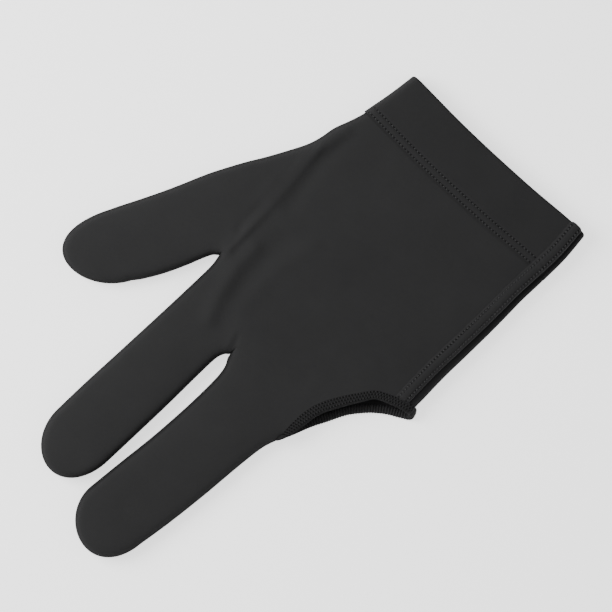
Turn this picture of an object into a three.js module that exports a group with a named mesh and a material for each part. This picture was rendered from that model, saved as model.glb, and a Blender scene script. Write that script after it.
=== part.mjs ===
// Three-finger billiard glove of stretch cloth, laid flat with the back of the hand up.
// Millimetres, +Z up, fingertips toward +Y, thumb toward +X, origin under the middle of the outline.
import * as THREE from "three";

// Driving sizes
const PALM_WIDTH = 92.5;
const PALM_LENGTH = 126.8;
const MIDDLE_LENGTH = 85.6;
const INDEX_LENGTH = 89.0;
const THUMB_LENGTH = 57.5;
const CUFF_DEPTH = 23.0;
const PLY = 1.2;
const CUFF_WALL = 2.0;
const SEAM_HEIGHT = 3.0;
const EDGE_RISE = 3.1;
const EDGE_REACH = 3.2;
const BODY_RISE = 1.4;
const BODY_REACH = 13;
const PALM_CROWN = 0.6;
const PALM_REACH = 40;
const FOLD_MARGIN = 8;
const CUFF_SEAM_HEIGHT = 3.2;
const CUFF_EDGE_RISE = 3.5;
const LAP = 3.9;
const BAND_WIDTH = 5.6;
const BAND_THICKNESS = 1.0;
const EDGING_WIDTH = 4.3;
const EDGING_THICKNESS = 1.7;
const GAP = 0.3;

// Sides of the palm panels: y is a share of PALM_LENGTH, fold and thumb are shares of PALM_WIDTH.
const PALM_SIDES = [
  { y: -0.08, fold: -0.480, thumb: 0.458 },
  { y: 0.06, fold: -0.500, thumb: 0.468 },
  { y: 0.15, fold: -0.513, thumb: 0.474 },
  { y: 0.23, fold: -0.519, thumb: 0.478 },
  { y: 0.28, fold: -0.526, thumb: 0.492 },
  { y: 0.33, fold: -0.533, thumb: 0.511 },
  { y: 0.38, fold: -0.539, thumb: 0.518 },
  { y: 0.42, fold: -0.543, thumb: 0.530 },
  { y: 0.47, fold: -0.548, thumb: 0.557 },
  { y: 0.54, fold: -0.554, thumb: 0.599 },
  { y: 0.60, fold: -0.562, thumb: 0.639 },
  { y: 0.68, fold: -0.576, thumb: 0.686 },
  { y: 0.72, fold: -0.586, thumb: 0.707 },
];

// Wrist rim across the glove: x is a share of PALM_WIDTH, y of PALM_LENGTH.
const RIM_LINE = [
  { x: -0.52, y: -0.0370 },
  { x: -0.40, y: -0.0275 },
  { x: -0.17, y: 0.0010 },
  { x: 0.16, y: 0.0320 },
  { x: 0.46, y: 0.0490 },
];

// Sides of the wrist cuff: along is a share of CUFF_DEPTH, the rest are shares of PALM_WIDTH.
const CUFF_SIDES = [
  { along: 0.0, fold: -0.481, thumb: 0.466 },
  { along: 0.5, fold: -0.503, thumb: 0.472 },
  { along: 1.0, fold: -0.519, thumb: 0.486 },
];

// Side seam band: along is the share of its run, inset its distance from the fold as a share of BAND_WIDTH.
const BAND_RUN = [
  { along: 0.0, inset: 0.375 },
  { along: 0.3, inset: 0.464 },
  { along: 1.0, inset: 0.607 },
];
const FOLD_END = 0.675;
const THUMB_ROOT = 0.71;

// Fingers: base point in shares of PALM_WIDTH and PALM_LENGTH, lean toward the thumb in degrees,
// width a share of PALM_WIDTH, tip the share of the length that the rounded end takes,
// hook how far the tip drifts sideways as a share of the width.
const FINGERS = {
  middle: { x: -0.133, y: 1.025, lean: 0.2, width: 0.320, length: MIDDLE_LENGTH, tip: 0.19, hook: -0.045 },
  index: { x: 0.252, y: 0.931, lean: -3.2, width: 0.295, length: INDEX_LENGTH, tip: 0.20, hook: -0.03 },
  thumb: { x: 0.561, y: 0.781, lean: 22.6, width: 0.3135, length: THUMB_LENGTH, tip: 0.38, hook: 0.085 },
};

// Finger sides: along is a share of the finger's length, left and right are shares of its width.
const FINGER_SIDES = {
  middle: [
    { along: -0.037, left: 0.640, right: 0.662 },
    { along: -0.015, left: 0.615, right: 0.640 },
    { along: 0.010, left: 0.590, right: 0.592 },
    { along: 0.050, left: 0.565, right: 0.555 },
    { along: 0.120, left: 0.521, right: 0.528 },
    { along: 0.250, left: 0.509, right: 0.501 },
    { along: 0.450, left: 0.511, right: 0.486 },
    { along: 0.650, left: 0.497, right: 0.497 },
    { along: 0.810, left: 0.468, right: 0.503 },
  ],
  index: [
    { along: -0.144, left: 0.560, right: 0.531 },
    { along: -0.110, left: 0.562, right: 0.507 },
    { along: -0.070, left: 0.564, right: 0.496 },
    { along: 0.109, left: 0.566, right: 0.494 },
    { along: 0.125, left: 0.520, right: 0.494 },
    { along: 0.160, left: 0.482, right: 0.495 },
    { along: 0.250, left: 0.478, right: 0.497 },
    { along: 0.450, left: 0.491, right: 0.505 },
    { along: 0.650, left: 0.493, right: 0.514 },
    { along: 0.800, left: 0.492, right: 0.510 },
  ],
  thumb: [
    { along: -0.057, left: 0.530, right: 0.533 },
    { along: 0.023, left: 0.519, right: 0.523 },
    { along: 0.060, left: 0.493, right: 0.516 },
    { along: 0.120, left: 0.495, right: 0.507 },
    { along: 0.250, left: 0.520, right: 0.492 },
    { along: 0.400, left: 0.533, right: 0.483 },
    { along: 0.550, left: 0.519, right: 0.479 },
    { along: 0.620, left: 0.495, right: 0.474 },
  ],
};

// Where each finger's two sides start, as shares of its length.
const SIDE_START = {
  middle: { left: 0.060, right: -0.037 },
  index: { left: 0.109, right: -0.144 },
  thumb: { left: 0.023, right: -0.057 },
};

// Middle line of the opening's edging, from the corner by the fold to the middle finger's root:
// x and y are shares of PALM_WIDTH and PALM_LENGTH, width a share of EDGING_WIDTH.
const UPPER_RIM = [
  { x: -0.572, y: 0.6958, width: 0.90 },
  { x: -0.552, y: 0.6975, width: 0.95 },
  { x: -0.519, y: 0.7066, width: 0.92 },
  { x: -0.471, y: 0.7256, width: 0.85 },
  { x: -0.428, y: 0.7461, width: 0.82 },
  { x: -0.399, y: 0.7808, width: 0.88 },
  { x: -0.359, y: 0.8375, width: 1.00 },
  { x: -0.324, y: 0.9014, width: 1.00 },
  { x: -0.314, y: 0.9732, width: 0.90 },
  { x: -0.3160, y: 1.0150, width: 0.60 },
  { x: -0.3190, y: 1.0380, width: 0.32 },
];
const LOWER_RIM = [
  { x: -0.574, y: 0.7165, width: 0.72 },
  { x: -0.546, y: 0.7311, width: 0.74 },
  { x: -0.513, y: 0.7480, width: 0.74 },
  { x: -0.467, y: 0.7800, width: 0.74 },
  { x: -0.432, y: 0.8131, width: 0.74 },
  { x: -0.404, y: 0.8462, width: 0.74 },
  { x: -0.369, y: 0.9109, width: 0.74 },
  { x: -0.336, y: 0.9740, width: 0.68 },
  { x: -0.3230, y: 1.0150, width: 0.46 },
  { x: -0.3190, y: 1.0380, width: 0.32 },
];

// Folds of the upper panel: a polyline in shares of PALM_WIDTH and PALM_LENGTH,
// its height a share of BODY_RISE (a valley is negative) and its half width a share of BODY_REACH.
const FOLDS = [
  { height: 0.54, reach: 0.20, line: [[0.405, 0.815], [0.440, 0.721], [0.481, 0.580], [0.499, 0.471], [0.466, 0.317]] },
  { height: -0.32, reach: 0.17, line: [[0.413, 0.781], [0.455, 0.720], [0.458, 0.644]] },
  { height: -0.39, reach: 0.23, line: [[0.385, 0.580], [0.431, 0.435], [0.444, 0.330]] },
  { height: -0.29, reach: 0.31, line: [[0.289, 0.659], [0.293, 0.745], [0.284, 0.816], [0.258, 0.910], [0.212, 0.985]] },
  { height: 0.25, reach: 0.25, line: [[0.20, 0.60], [0.22, 0.74], [0.20, 0.88]] },
];

// Shares across one finger and along the parts of the grid.
const ACROSS = [0, 0.03, 0.1, 0.28, 0.5, 0.72, 0.9, 0.97, 1];
const FOLD_ROWS = [0, 0.08, 0.2, 0.33, 0.46, 0.59, 0.72, 0.84, 0.94, 1];
const RIM_ROWS = [0.07, 0.16, 0.25, 0.34, 0.42, 0.5, 0.6, 0.7, 0.8, 0.9, 0.97];
const FINGER_ROWS = [0.02, 0.05, 0.1, 0.18, 0.3, 0.45, 0.6, 0.8, 1];
const TIP_ROWS = [0.3, 0.55, 0.75, 0.9, 1];
const BOTTOM_SHARE = { middle: [0, 0.5], index: [0.5, 0.86], thumb: [0.86, 1] };
const ROOT_SHARE = { middle: [0, 0.38], index: [0.38, 0.70], thumb: [0.70, 1] };
const FINGER_NAMES = ["middle", "index", "thumb"];

const clamp = (value, low, high) => Math.min(high, Math.max(low, value));
const mix = (a, b, share) => a + (b - a) * share;
const mixPoint = (a, b, share) => [mix(a[0], b[0], share), mix(a[1], b[1], share)];
const smooth = (share) => share * share * (3 - 2 * share);

// A table column read at any place along its key column, with smooth slopes through the rows.
function readTable(table, key, column, at) {
  const last = table.length - 1;
  const x = clamp(at, table[0][key], table[last][key]);
  let i = 0;
  while (i < last - 1 && table[i + 1][key] < x) i += 1;
  const slope = (k) => {
    const a = Math.max(0, k - 1);
    const b = Math.min(last, k + 1);
    return (table[b][column] - table[a][column]) / (table[b][key] - table[a][key]);
  };
  const span = table[i + 1][key] - table[i][key];
  const s = (x - table[i][key]) / span;
  const s2 = s * s;
  const s3 = s2 * s;
  return (2 * s3 - 3 * s2 + 1) * table[i][column] + (s3 - 2 * s2 + s) * span * slope(i)
    + (3 * s2 - 2 * s3) * table[i + 1][column] + (s3 - s2) * span * slope(i + 1);
}

// Outline of the palm panels and of the fingers.
const foldX = (y) => readTable(PALM_SIDES, "y", "fold", y / PALM_LENGTH) * PALM_WIDTH;
const thumbX = (y) => readTable(PALM_SIDES, "y", "thumb", y / PALM_LENGTH) * PALM_WIDTH;

function fingerFrame(name) {
  const f = FINGERS[name];
  const lean = THREE.MathUtils.degToRad(f.lean);
  const along = [Math.sin(lean), Math.cos(lean)];
  const across = [along[1], -along[0]];
  const base = [f.x * PALM_WIDTH, f.y * PALM_LENGTH];
  const width = f.width * PALM_WIDTH;
  const rows = FINGER_SIDES[name];
  const place = (s, offset) => [
    base[0] + along[0] * s + across[0] * offset,
    base[1] + along[1] * s + across[1] * offset,
  ];
  const offsetOf = (side, s) => {
    const sign = side === "left" ? -1 : 1;
    return sign * width * readTable(rows, "along", side, s / f.length);
  };
  return { ...f, name, base, along, across, width, place, offsetOf, tipStart: f.length * (1 - f.tip) };
}
const frames = Object.fromEntries(FINGER_NAMES.map((name) => [name, fingerFrame(name)]));

// A finger's plan point: share 0 to 1 across, row 0 to 1 from its root to where the tip starts.
function fingerPoint(frame, row, share) {
  const start = SIDE_START[frame.name];
  const sLeft = mix(start.left * frame.length, frame.tipStart, row);
  const sRight = mix(start.right * frame.length, frame.tipStart, row);
  const left = frame.place(sLeft, frame.offsetOf("left", sLeft));
  const right = frame.place(sRight, frame.offsetOf("right", sRight));
  return mixPoint(left, right, share);
}

// The rounded tip: a square of rows and columns laid on half an ellipse.
function tipPoint(frame, row, share) {
  const left = frame.offsetOf("left", frame.tipStart);
  const right = frame.offsetOf("right", frame.tipStart);
  const half = (right - left) / 2;
  const p = 2 * share - 1;
  const x = half * p * Math.sqrt(1 - row * row / 2);
  const rise = row * Math.sqrt(1 - p * p / 2);
  const drift = frame.hook * frame.width * rise * rise;
  return frame.place(frame.tipStart + frame.length * frame.tip * rise, (left + right) / 2 + x + drift);
}

const ROOT_LEFT = fingerPoint(frames.middle, 0, 0);
const CROTCH_MIDDLE = fingerPoint(frames.middle, 0, 1);
const CROTCH_THUMB = fingerPoint(frames.index, 0, 1);
const ROOT_RIGHT = [thumbX(THUMB_ROOT * PALM_LENGTH), THUMB_ROOT * PALM_LENGTH];
const ROOTS = {
  middle: [ROOT_LEFT, CROTCH_MIDDLE],
  index: [CROTCH_MIDDLE, CROTCH_THUMB],
  thumb: [CROTCH_THUMB, ROOT_RIGHT],
};

// The closed part of the outline, as polylines that the surface height is measured from.
function outlineOfFinger(frame) {
  const points = [];
  for (let i = 0; i <= 16; i += 1) points.push(fingerPoint(frame, i / 16, 0));
  for (let i = 1; i <= 8; i += 1) points.push(tipPoint(frame, i / 8, 0));
  for (let i = 1; i <= 16; i += 1) points.push(tipPoint(frame, 1, i / 16));
  for (let i = 7; i >= 0; i -= 1) points.push(tipPoint(frame, i / 8, 1));
  for (let i = 15; i >= 0; i -= 1) points.push(fingerPoint(frame, i / 16, 1));
  return points;
}
const foldLine = [];
for (let i = 0; i <= 24; i += 1) {
  const y = mix(-0.08, FOLD_END, i / 24) * PALM_LENGTH;
  foldLine.push([foldX(y), y]);
}
const thumbLine = [];
for (let i = 0; i <= 24; i += 1) {
  const y = mix(THUMB_ROOT, -0.08, i / 24) * PALM_LENGTH;
  thumbLine.push([thumbX(y), y]);
}
const fingerLine = FINGER_NAMES.flatMap((name) => outlineOfFinger(frames[name])).concat(thumbLine);

function distanceTo(line, x, y) {
  let best = Infinity;
  for (let i = 0; i + 1 < line.length; i += 1) {
    const [ax, ay] = line[i];
    const dx = line[i + 1][0] - ax;
    const dy = line[i + 1][1] - ay;
    const size = dx * dx + dy * dy;
    const t = size > 0 ? clamp(((x - ax) * dx + (y - ay) * dy) / size, 0, 1) : 0;
    best = Math.min(best, Math.hypot(x - ax - dx * t, y - ay - dy * t));
  }
  return best;
}
const edgeDistance = (x, y) => Math.min(distanceTo(foldLine, x, y), distanceTo(fingerLine, x, y));

// How far a rounded edge has come up at share q of its reach.
const rounded = (q) => (1 - (1 - Math.min(Math.max(q, 0), 1)) ** 2.5) ** 0.4;

function foldHeight(x, y) {
  let height = 0;
  for (const fold of FOLDS) {
    const line = fold.line.map(([u, v]) => [u * PALM_WIDTH, v * PALM_LENGTH]);
    const d = distanceTo(line, x, y);
    height += fold.height * BODY_RISE * Math.exp(-((d / (fold.reach * BODY_REACH)) ** 2));
  }
  return height;
}

const topRise = (d) => EDGE_RISE * rounded(d / EDGE_REACH) + BODY_RISE * rounded(d / BODY_REACH)
  + PALM_CROWN * rounded(d / PALM_REACH);
const topHeight = (x, y, d) => SEAM_HEIGHT + GAP / 2 + topRise(d) + foldHeight(x, y) * rounded(d / FOLD_MARGIN);
const underHeight = (d) => (SEAM_HEIGHT - GAP / 2) * (1 - rounded(d / EDGE_REACH));

// The wrist: rim line and hem line across the glove.
const rimY = (x) => readTable(RIM_LINE, "x", "y", x / PALM_WIDTH) * PALM_LENGTH;
const hemY = (x) => rimY(x) + CUFF_DEPTH;

// Edging lines in mm, with the direction across the ribbon toward the cloth.
function rimCurve(table) {
  const points = table.map((row) => new THREE.Vector3(row.x * PALM_WIDTH, row.y * PALM_LENGTH, row.width));
  return new THREE.CatmullRomCurve3(points, false, "centripetal");
}
const upperRim = rimCurve(UPPER_RIM);
const lowerRim = rimCurve(LOWER_RIM);
function rimAt(curve, share) {
  const p = curve.getPointAt(share);
  const q = curve.getTangentAt(share);
  const size = Math.hypot(q.x, q.y);
  return { x: p.x, y: p.y, width: p.z * EDGING_WIDTH, across: [q.y / size, -q.x / size] };
}
function clothEdge(curve, share) {
  const r = rimAt(curve, share);
  const reach = r.width / 2 + GAP;
  return [r.x + r.across[0] * reach, r.y + r.across[1] * reach];
}

// Left and right ends of the palm's rows. Rows 0 to 1 follow the fold, rows 1 to 2 the opening.
const FOLD_SPAN = 0.62;
function rowLeft(row, side) {
  if (row <= 1) {
    const inset = side === "top" ? LAP : 0;
    const yStart = hemY(foldX(CUFF_DEPTH) + inset) + GAP;
    const y = mix(yStart, FOLD_END * PALM_LENGTH, row);
    return [foldX(y) + inset, y - (side === "top" ? 0.5 * row : 0)];
  }
  const curve = side === "top" ? upperRim : lowerRim;
  const start = side === "top" ? 0.07 : 0.0;
  return clothEdge(curve, mix(start, 1, row - 1));
}
function rowRight(row) {
  const share = row <= 1 ? row * FOLD_SPAN : mix(FOLD_SPAN, 1, row - 1);
  const yStart = hemY(thumbX(CUFF_DEPTH)) + GAP;
  const y = mix(yStart, ROOT_RIGHT[1], share);
  return [thumbX(y), y];
}

// One vertex of the palm grid: row 0 to 2, finger column name and share across that finger.
function palmPoint(row, name, share, side) {
  const t = row <= 1 ? row * FOLD_SPAN : mix(FOLD_SPAN, 1, row - 1);
  const [bottomA, bottomB] = BOTTOM_SHARE[name];
  const [rootA, rootB] = ROOT_SHARE[name];
  const across = mix(mix(bottomA, bottomB, share), mix(rootA, rootB, share), smooth(t));
  const [x, y] = mixPoint(rowLeft(row, side), rowRight(row), across);
  const rootShare = mix(rootA, rootB, share);
  const chord = mixPoint(ROOT_LEFT, ROOT_RIGHT, rootShare);
  const root = mixPoint(ROOTS[name][0], ROOTS[name][1], share);
  const pull = t * t;
  const hem = mixPoint(rowLeft(0, side), rowRight(0), mix(bottomA, bottomB, share));
  const sag = (hemY(hem[0]) + GAP - hem[1]) * (1 - t) ** 2;
  return [x + (root[0] - chord[0]) * pull, y + (root[1] - chord[1]) * pull + sag];
}

// A sheet under construction: plan points with their kind, and triangles.
const INSIDE = 0;
const CLOSED = 1;
const CUT_DOWN = 2;
const CUT_UP = 3;
class Sheet {
  constructor(height) {
    this.height = height;
    this.points = [];
    this.kinds = [];
    this.triangles = [];
  }

  add(x, y, kind, z) {
    const d = kind === CLOSED ? 0 : edgeDistance(x, y);
    this.points.push([x, y, z === undefined ? this.height(x, y, d) : z]);
    this.kinds.push(kind);
    return this.points.length - 1;
  }

  quad(a, b, c, d, swap) {
    if (swap) this.triangles.push([a, b, d], [b, c, d]);
    else this.triangles.push([a, b, c], [a, c, d]);
  }

  // Rows of vertex numbers, joined into quads.
  strip(rows, lastIsTip) {
    for (let i = 0; i + 1 < rows.length; i += 1) {
      const count = rows[i].length - 1;
      for (let j = 0; j < count; j += 1) {
        const atTip = lastIsTip && i + 2 === rows.length;
        const swap = atTip ? j < count / 2 : (i + j) % 2 === 1;
        this.quad(rows[i][j], rows[i][j + 1], rows[i + 1][j + 1], rows[i + 1][j], swap);
      }
    }
  }
}

// The palm and finger grids that both panels share.
function panelSheet(side, height) {
  const sheet = new Sheet(height);
  const rows = FOLD_ROWS.concat(RIM_ROWS.map((share) => 1 + share));
  const palm = rows.map((row, i) => {
    const line = [];
    FINGER_NAMES.forEach((name, f) => {
      ACROSS.forEach((share, j) => {
        if (f > 0 && j === 0) return;
        const [x, y] = palmPoint(row, name, share, side);
        const first = f === 0 && j === 0;
        const last = f === 2 && j === ACROSS.length - 1;
        let kind = INSIDE;
        if (first) kind = side === "top" ? CUT_DOWN : CUT_UP;
        if (last || (first && side === "under" && row <= 1)) kind = CLOSED;
        line.push(sheet.add(x, y, kind));
      });
    });
    return line;
  });
  const rootLine = [];
  FINGER_NAMES.forEach((name, f) => {
    ACROSS.forEach((share, j) => {
      if (f > 0 && j === 0) return;
      const [x, y] = mixPoint(ROOTS[name][0], ROOTS[name][1], share);
      const corner = share === 0 || share === 1;
      rootLine.push(sheet.add(x, y, corner ? CLOSED : INSIDE));
    });
  });
  palm.push(rootLine);
  sheet.strip(palm, false);
  const stalls = {};
  FINGER_NAMES.forEach((name, f) => {
    const frame = frames[name];
    const count = ACROSS.length - 1;
    const lines = [rootLine.slice(f * count, (f + 1) * count + 1)];
    FINGER_ROWS.forEach((row) => {
      lines.push(ACROSS.map((share) => {
        const [x, y] = fingerPoint(frame, row, share);
        return sheet.add(x, y, share === 0 || share === 1 ? CLOSED : INSIDE);
      }));
    });
    TIP_ROWS.forEach((row) => {
      lines.push(ACROSS.map((share) => {
        const [x, y] = tipPoint(frame, row, share);
        return sheet.add(x, y, share === 0 || share === 1 || row === 1 ? CLOSED : INSIDE);
      }));
    });
    const from = sheet.triangles.length;
    sheet.strip(lines, true);
    stalls[name] = { root: lines[0], next: lines[1], from, to: sheet.triangles.length };
  });
  return { sheet, palm, stalls };
}

// A closed body from an outer and an inner copy of one sheet. The two sides of a cut share its diagonals.
function bodyOf(outer, inner, triangles, facing) {
  const used = new Map();
  triangles.forEach((t) => t.forEach((a, k) => {
    const b = t[(k + 1) % 3];
    used.set(`${a},${b}`, [a, b]);
  }));
  const count = outer.length;
  const faces = [];
  triangles.forEach(([a, b, c]) => {
    faces.push([a, b, c]);
    faces.push([a + count, c + count, b + count]);
  });
  used.forEach(([a, b]) => {
    if (used.has(`${b},${a}`)) return;
    if (a < b) faces.push([b, a, a + count], [b, a + count, b + count]);
    else faces.push([b, a, b + count], [a, a + count, b + count]);
  });
  return geometryOf(outer.concat(inner), faces, facing);
}

function geometryOf(points, faces, facing) {
  const numbers = new Map();
  faces.flat().forEach((v) => numbers.set(v, numbers.get(v) ?? numbers.size));
  const kept = [...numbers.keys()].flatMap((v) => points[v]);
  const turned = faces.flatMap(([a, b, c]) => (facing > 0 ? [a, b, c] : [a, c, b]));
  const geometry = new THREE.BufferGeometry();
  geometry.setAttribute("position", new THREE.Float32BufferAttribute(kept, 3));
  geometry.setIndex(turned.map((v) => numbers.get(v)));
  geometry.computeVertexNormals();
  return geometry;
}

function vertexNormals(points, triangles) {
  const normals = points.map(() => new THREE.Vector3());
  const p = (i) => new THREE.Vector3(...points[i]);
  triangles.forEach(([a, b, c]) => {
    const n = p(b).sub(p(a)).cross(p(c).sub(p(a)));
    [a, b, c].forEach((i) => normals[i].add(n));
  });
  return normals.map((n) => n.normalize());
}

// Inner points of a cloth sheet: straight in from a closed seam, straight down at a cut edge.
function innerPoints(sheet, up) {
  const { points, kinds, triangles } = sheet;
  const normals = vertexNormals(points, triangles);
  const single = new Map();
  triangles.forEach((t) => t.forEach((a, k) => single.set(`${a},${t[(k + 1) % 3]}`, [a, t[(k + 1) % 3]])));
  const inward = points.map(() => [0, 0]);
  single.forEach(([a, b]) => {
    if (single.has(`${b},${a}`) || kinds[a] !== CLOSED || kinds[b] !== CLOSED) return;
    const dx = points[b][0] - points[a][0];
    const dy = points[b][1] - points[a][1];
    const size = Math.hypot(dx, dy);
    [a, b].forEach((i) => {
      inward[i][0] -= dy / size;
      inward[i][1] += dx / size;
    });
  });
  return points.map(([x, y, z], i) => {
    if (kinds[i] === CLOSED && Math.hypot(...inward[i]) > 0) {
      const size = Math.hypot(...inward[i]);
      return [x + inward[i][0] / size * PLY, y + inward[i][1] / size * PLY, z];
    }
    if (kinds[i] === CUT_DOWN) return [x, y, z - PLY];
    if (kinds[i] === CUT_UP) return [x, y, z + PLY];
    const n = normals[i];
    return [x - n.x * PLY * up, y - n.y * PLY * up, z - n.z * PLY * up];
  });
}

// The panel's palm as one body, and each finger's stall as one more, a gap beyond its root.
function panelBodies({ sheet, stalls }, up) {
  const outer = sheet.points;
  const inner = innerPoints(sheet, up);
  const inStall = new Set();
  const bodies = FINGER_NAMES.map((name) => {
    const { root, next, from, to } = stalls[name];
    const drawnBack = (points) => {
      const moved = points.slice();
      root.forEach((a, j) => {
        const run = outer[next[j]].map((value, k) => value - outer[a][k]);
        const share = GAP / Math.hypot(...run);
        moved[a] = points[a].map((value, k) => value + run[k] * share);
      });
      return moved;
    };
    const triangles = sheet.triangles.slice(from, to);
    triangles.forEach((t) => inStall.add(t));
    return bodyOf(drawnBack(outer), drawnBack(inner), triangles, up);
  });
  const palm = sheet.triangles.filter((t) => !inStall.has(t));
  return [bodyOf(outer, inner, palm, up), ...bodies];
}

// Upper panel.
function upperPanel() {
  return panelBodies(panelSheet("top", topHeight), 1);
}

// Lower panel, with the strip that wraps round the fold onto the upper face.
const WRAP_COLUMNS = [0.08, 0.25, 0.55, 1];
function lowerPanel() {
  const panel = panelSheet("under", (x, y, d) => underHeight(d));
  const { sheet, palm } = panel;
  const wrap = FOLD_ROWS.map((row, i) => {
    const [x, y] = rowLeft(row, "under");
    sheet.points[palm[i][0]][2] = SEAM_HEIGHT;
    const line = [palm[i][0]];
    WRAP_COLUMNS.forEach((share) => {
      const d = share * (LAP - GAP);
      const shift = mix(hemY(x + d) - hemY(x), -0.5 * share, row);
      line.push(sheet.add(x + d, y + shift, share === 1 ? CUT_DOWN : INSIDE, topHeight(x + d, y, d)));
    });
    return line;
  });
  for (let i = 0; i + 1 < wrap.length; i += 1) {
    for (let j = 0; j + 1 < wrap[i].length; j += 1) {
      sheet.quad(wrap[i][j], wrap[i + 1][j], wrap[i + 1][j + 1], wrap[i][j + 1], false);
    }
  }
  return panelBodies(panel, -1);
}

// Wrist cuff: a flattened ring of doubled cloth, its section read round the two sides.
const SECTION_TOP = [0, 0.005, 0.014, 0.034, 0.075, 0.15, 0.27, 0.4, 0.5, 0.6, 0.73, 0.85, 0.925, 0.966, 0.986, 0.995];
const SECTION_UNDER = [1, 0.993, 0.98, 0.962, 0.8, 0.5, 0.2, 0.038, 0.02, 0.007];
const CUFF_ROWS = [0, 0.022, 0.3, 0.65, 1];
const cuffSide = (side, along) => readTable(CUFF_SIDES, "along", side, along) * PALM_WIDTH;
const cuffTop = (d) => CUFF_SEAM_HEIGHT + CUFF_EDGE_RISE * rounded(d / EDGE_REACH)
  + BODY_RISE * rounded(d / BODY_REACH) + PALM_CROWN * rounded(d / PALM_REACH);
const cuffUnder = (d) => CUFF_SEAM_HEIGHT * (1 - rounded(d / EDGE_REACH));
function wristCuff() {
  const outer = [];
  const inner = [];
  CUFF_ROWS.forEach((along, i) => {
    const left = cuffSide("fold", along);
    const width = cuffSide("thumb", along) - left;
    const section = [];
    SECTION_TOP.forEach((share) => {
      section.push([left + share * width, cuffTop(Math.min(share, 1 - share) * width)]);
    });
    SECTION_UNDER.forEach((share) => {
      section.push([left + share * width, cuffUnder(Math.min(share, 1 - share) * width)]);
    });
    const inset = i === 0 ? 0.45 : 0;
    const count = section.length;
    section.forEach(([x, z], k) => {
      const before = section[(k + count - 1) % count];
      const after = section[(k + 1) % count];
      const dx = after[0] - before[0];
      const dz = after[1] - before[1];
      const size = Math.hypot(dx, dz);
      const n = [-dz / size, dx / size];
      const y = rimY(x) + along * CUFF_DEPTH;
      outer.push([x - n[0] * inset, y, z - n[1] * inset]);
      const depth = CUFF_WALL - inset;
      inner.push([x - n[0] * depth, y, z - n[1] * depth]);
    });
  });
  const count = SECTION_TOP.length + SECTION_UNDER.length;
  const triangles = [];
  for (let i = 0; i + 1 < CUFF_ROWS.length; i += 1) {
    for (let k = 0; k < count; k += 1) {
      const a = i * count + k;
      const b = i * count + (k + 1) % count;
      triangles.push([a, b, b + count], [a, b + count, a + count]);
    }
  }
  return bodyOf(outer, inner, triangles, 1);
}

// Side seam band: a strip laid over the cuff and the panels' joint, up to the opening's corner.
const BAND_ROWS = 26;
const BAND_COLUMNS = [0, 0.12, 0.5, 0.88, 1];
function bandBase(x, y) {
  const along = clamp((y - rimY(x)) / CUFF_DEPTH, 0, 1);
  const cuff = cuffTop(Math.max(0, x - cuffSide("fold", along)));
  const panel = topHeight(x, y, Math.max(0, x - foldX(y)));
  const share = clamp((y - hemY(x) - 0.6) / 7, 0, 1);
  return mix(Math.max(cuff, panel), panel, smooth(share)) + GAP;
}
function sideSeamBand() {
  const top = [];
  const under = [];
  for (let i = 0; i <= BAND_ROWS; i += 1) {
    const along = i / BAND_ROWS;
    const inset = readTable(BAND_RUN, "along", "inset", along) * BAND_WIDTH;
    BAND_COLUMNS.forEach((share) => {
      const offset = inset + share * BAND_WIDTH;
      const start = rimY(cuffSide("fold", 0) + offset) + 0.3;
      const end = FOLD_END * PALM_LENGTH - 0.4 + 0.45 * share * BAND_WIDTH;
      const y = mix(start, end, along);
      const cuffShare = clamp((y - start) / CUFF_DEPTH, 0, 1);
      const handover = smooth(clamp((y - start - CUFF_DEPTH + 3) / 8, 0, 1));
      const x = mix(cuffSide("fold", cuffShare), foldX(y), handover) + offset;
      const base = bandBase(x, y);
      const thick = share === 0 || share === 1 ? 0.6 : 1;
      under.push([x, y, base]);
      top.push([x, y, base + thick * BAND_THICKNESS]);
    });
  }
  const count = BAND_COLUMNS.length;
  const triangles = [];
  for (let i = 0; i < BAND_ROWS; i += 1) {
    for (let k = 0; k + 1 < count; k += 1) {
      const a = i * count + k;
      triangles.push([a, a + 1, a + 1 + count], [a, a + 1 + count, a + count]);
    }
  }
  return bodyOf(top, under, triangles, 1);
}

// Opening edging: one closed ribbon, out along the upper rim, round the finger's root,
// back along the lower rim and round the corner by the fold.
const SECTION_SIDES = 10;
const ARM_STEPS = 20;
const TURN_STEPS = 5;
const TURN_REACH = 6.5;
function edgingArm(curve, heightOf) {
  const rims = [];
  for (let i = 0; i <= ARM_STEPS; i += 1) rims.push(rimAt(curve, i / ARM_STEPS));
  const places = rims.map((r) => new THREE.Vector3(r.x, r.y, heightOf(r)));
  return rims.map((r, i) => {
    const before = places[Math.max(0, i - 1)];
    const after = places[Math.min(ARM_STEPS, i + 1)];
    return ribbonStation(places[i], after.clone().sub(before), r.across, r.width);
  });
}
function ribbonStation(place, heading, side, width) {
  const along = heading.clone().normalize();
  const across = new THREE.Vector3(side[0], side[1], 0);
  across.addScaledVector(along, -across.dot(along)).normalize();
  const out = new THREE.Vector3().crossVectors(across, along);
  return { place, along, across, out, width };
}
const turnOf = (s) => new THREE.Quaternion().setFromRotationMatrix(
  new THREE.Matrix4().makeBasis(s.along, s.across, s.out.clone().negate()),
);
function ribbonTurn(from, to) {
  const stations = [];
  for (let i = 1; i < TURN_STEPS; i += 1) {
    const u = i / TURN_STEPS;
    const place = from.place.clone().multiplyScalar((1 + 2 * u) * (1 - u) ** 2)
      .addScaledVector(from.along, TURN_REACH * u * (1 - u) ** 2)
      .addScaledVector(to.place, u * u * (3 - 2 * u))
      .addScaledVector(to.along, TURN_REACH * u * u * (u - 1));
    const turn = turnOf(from).slerp(turnOf(to), u);
    const along = new THREE.Vector3(1, 0, 0).applyQuaternion(turn);
    const across = new THREE.Vector3(0, 1, 0).applyQuaternion(turn);
    const out = new THREE.Vector3(0, 0, -1).applyQuaternion(turn);
    stations.push({ place, along, across, out, width: mix(from.width, to.width, u) });
  }
  return stations;
}
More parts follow.
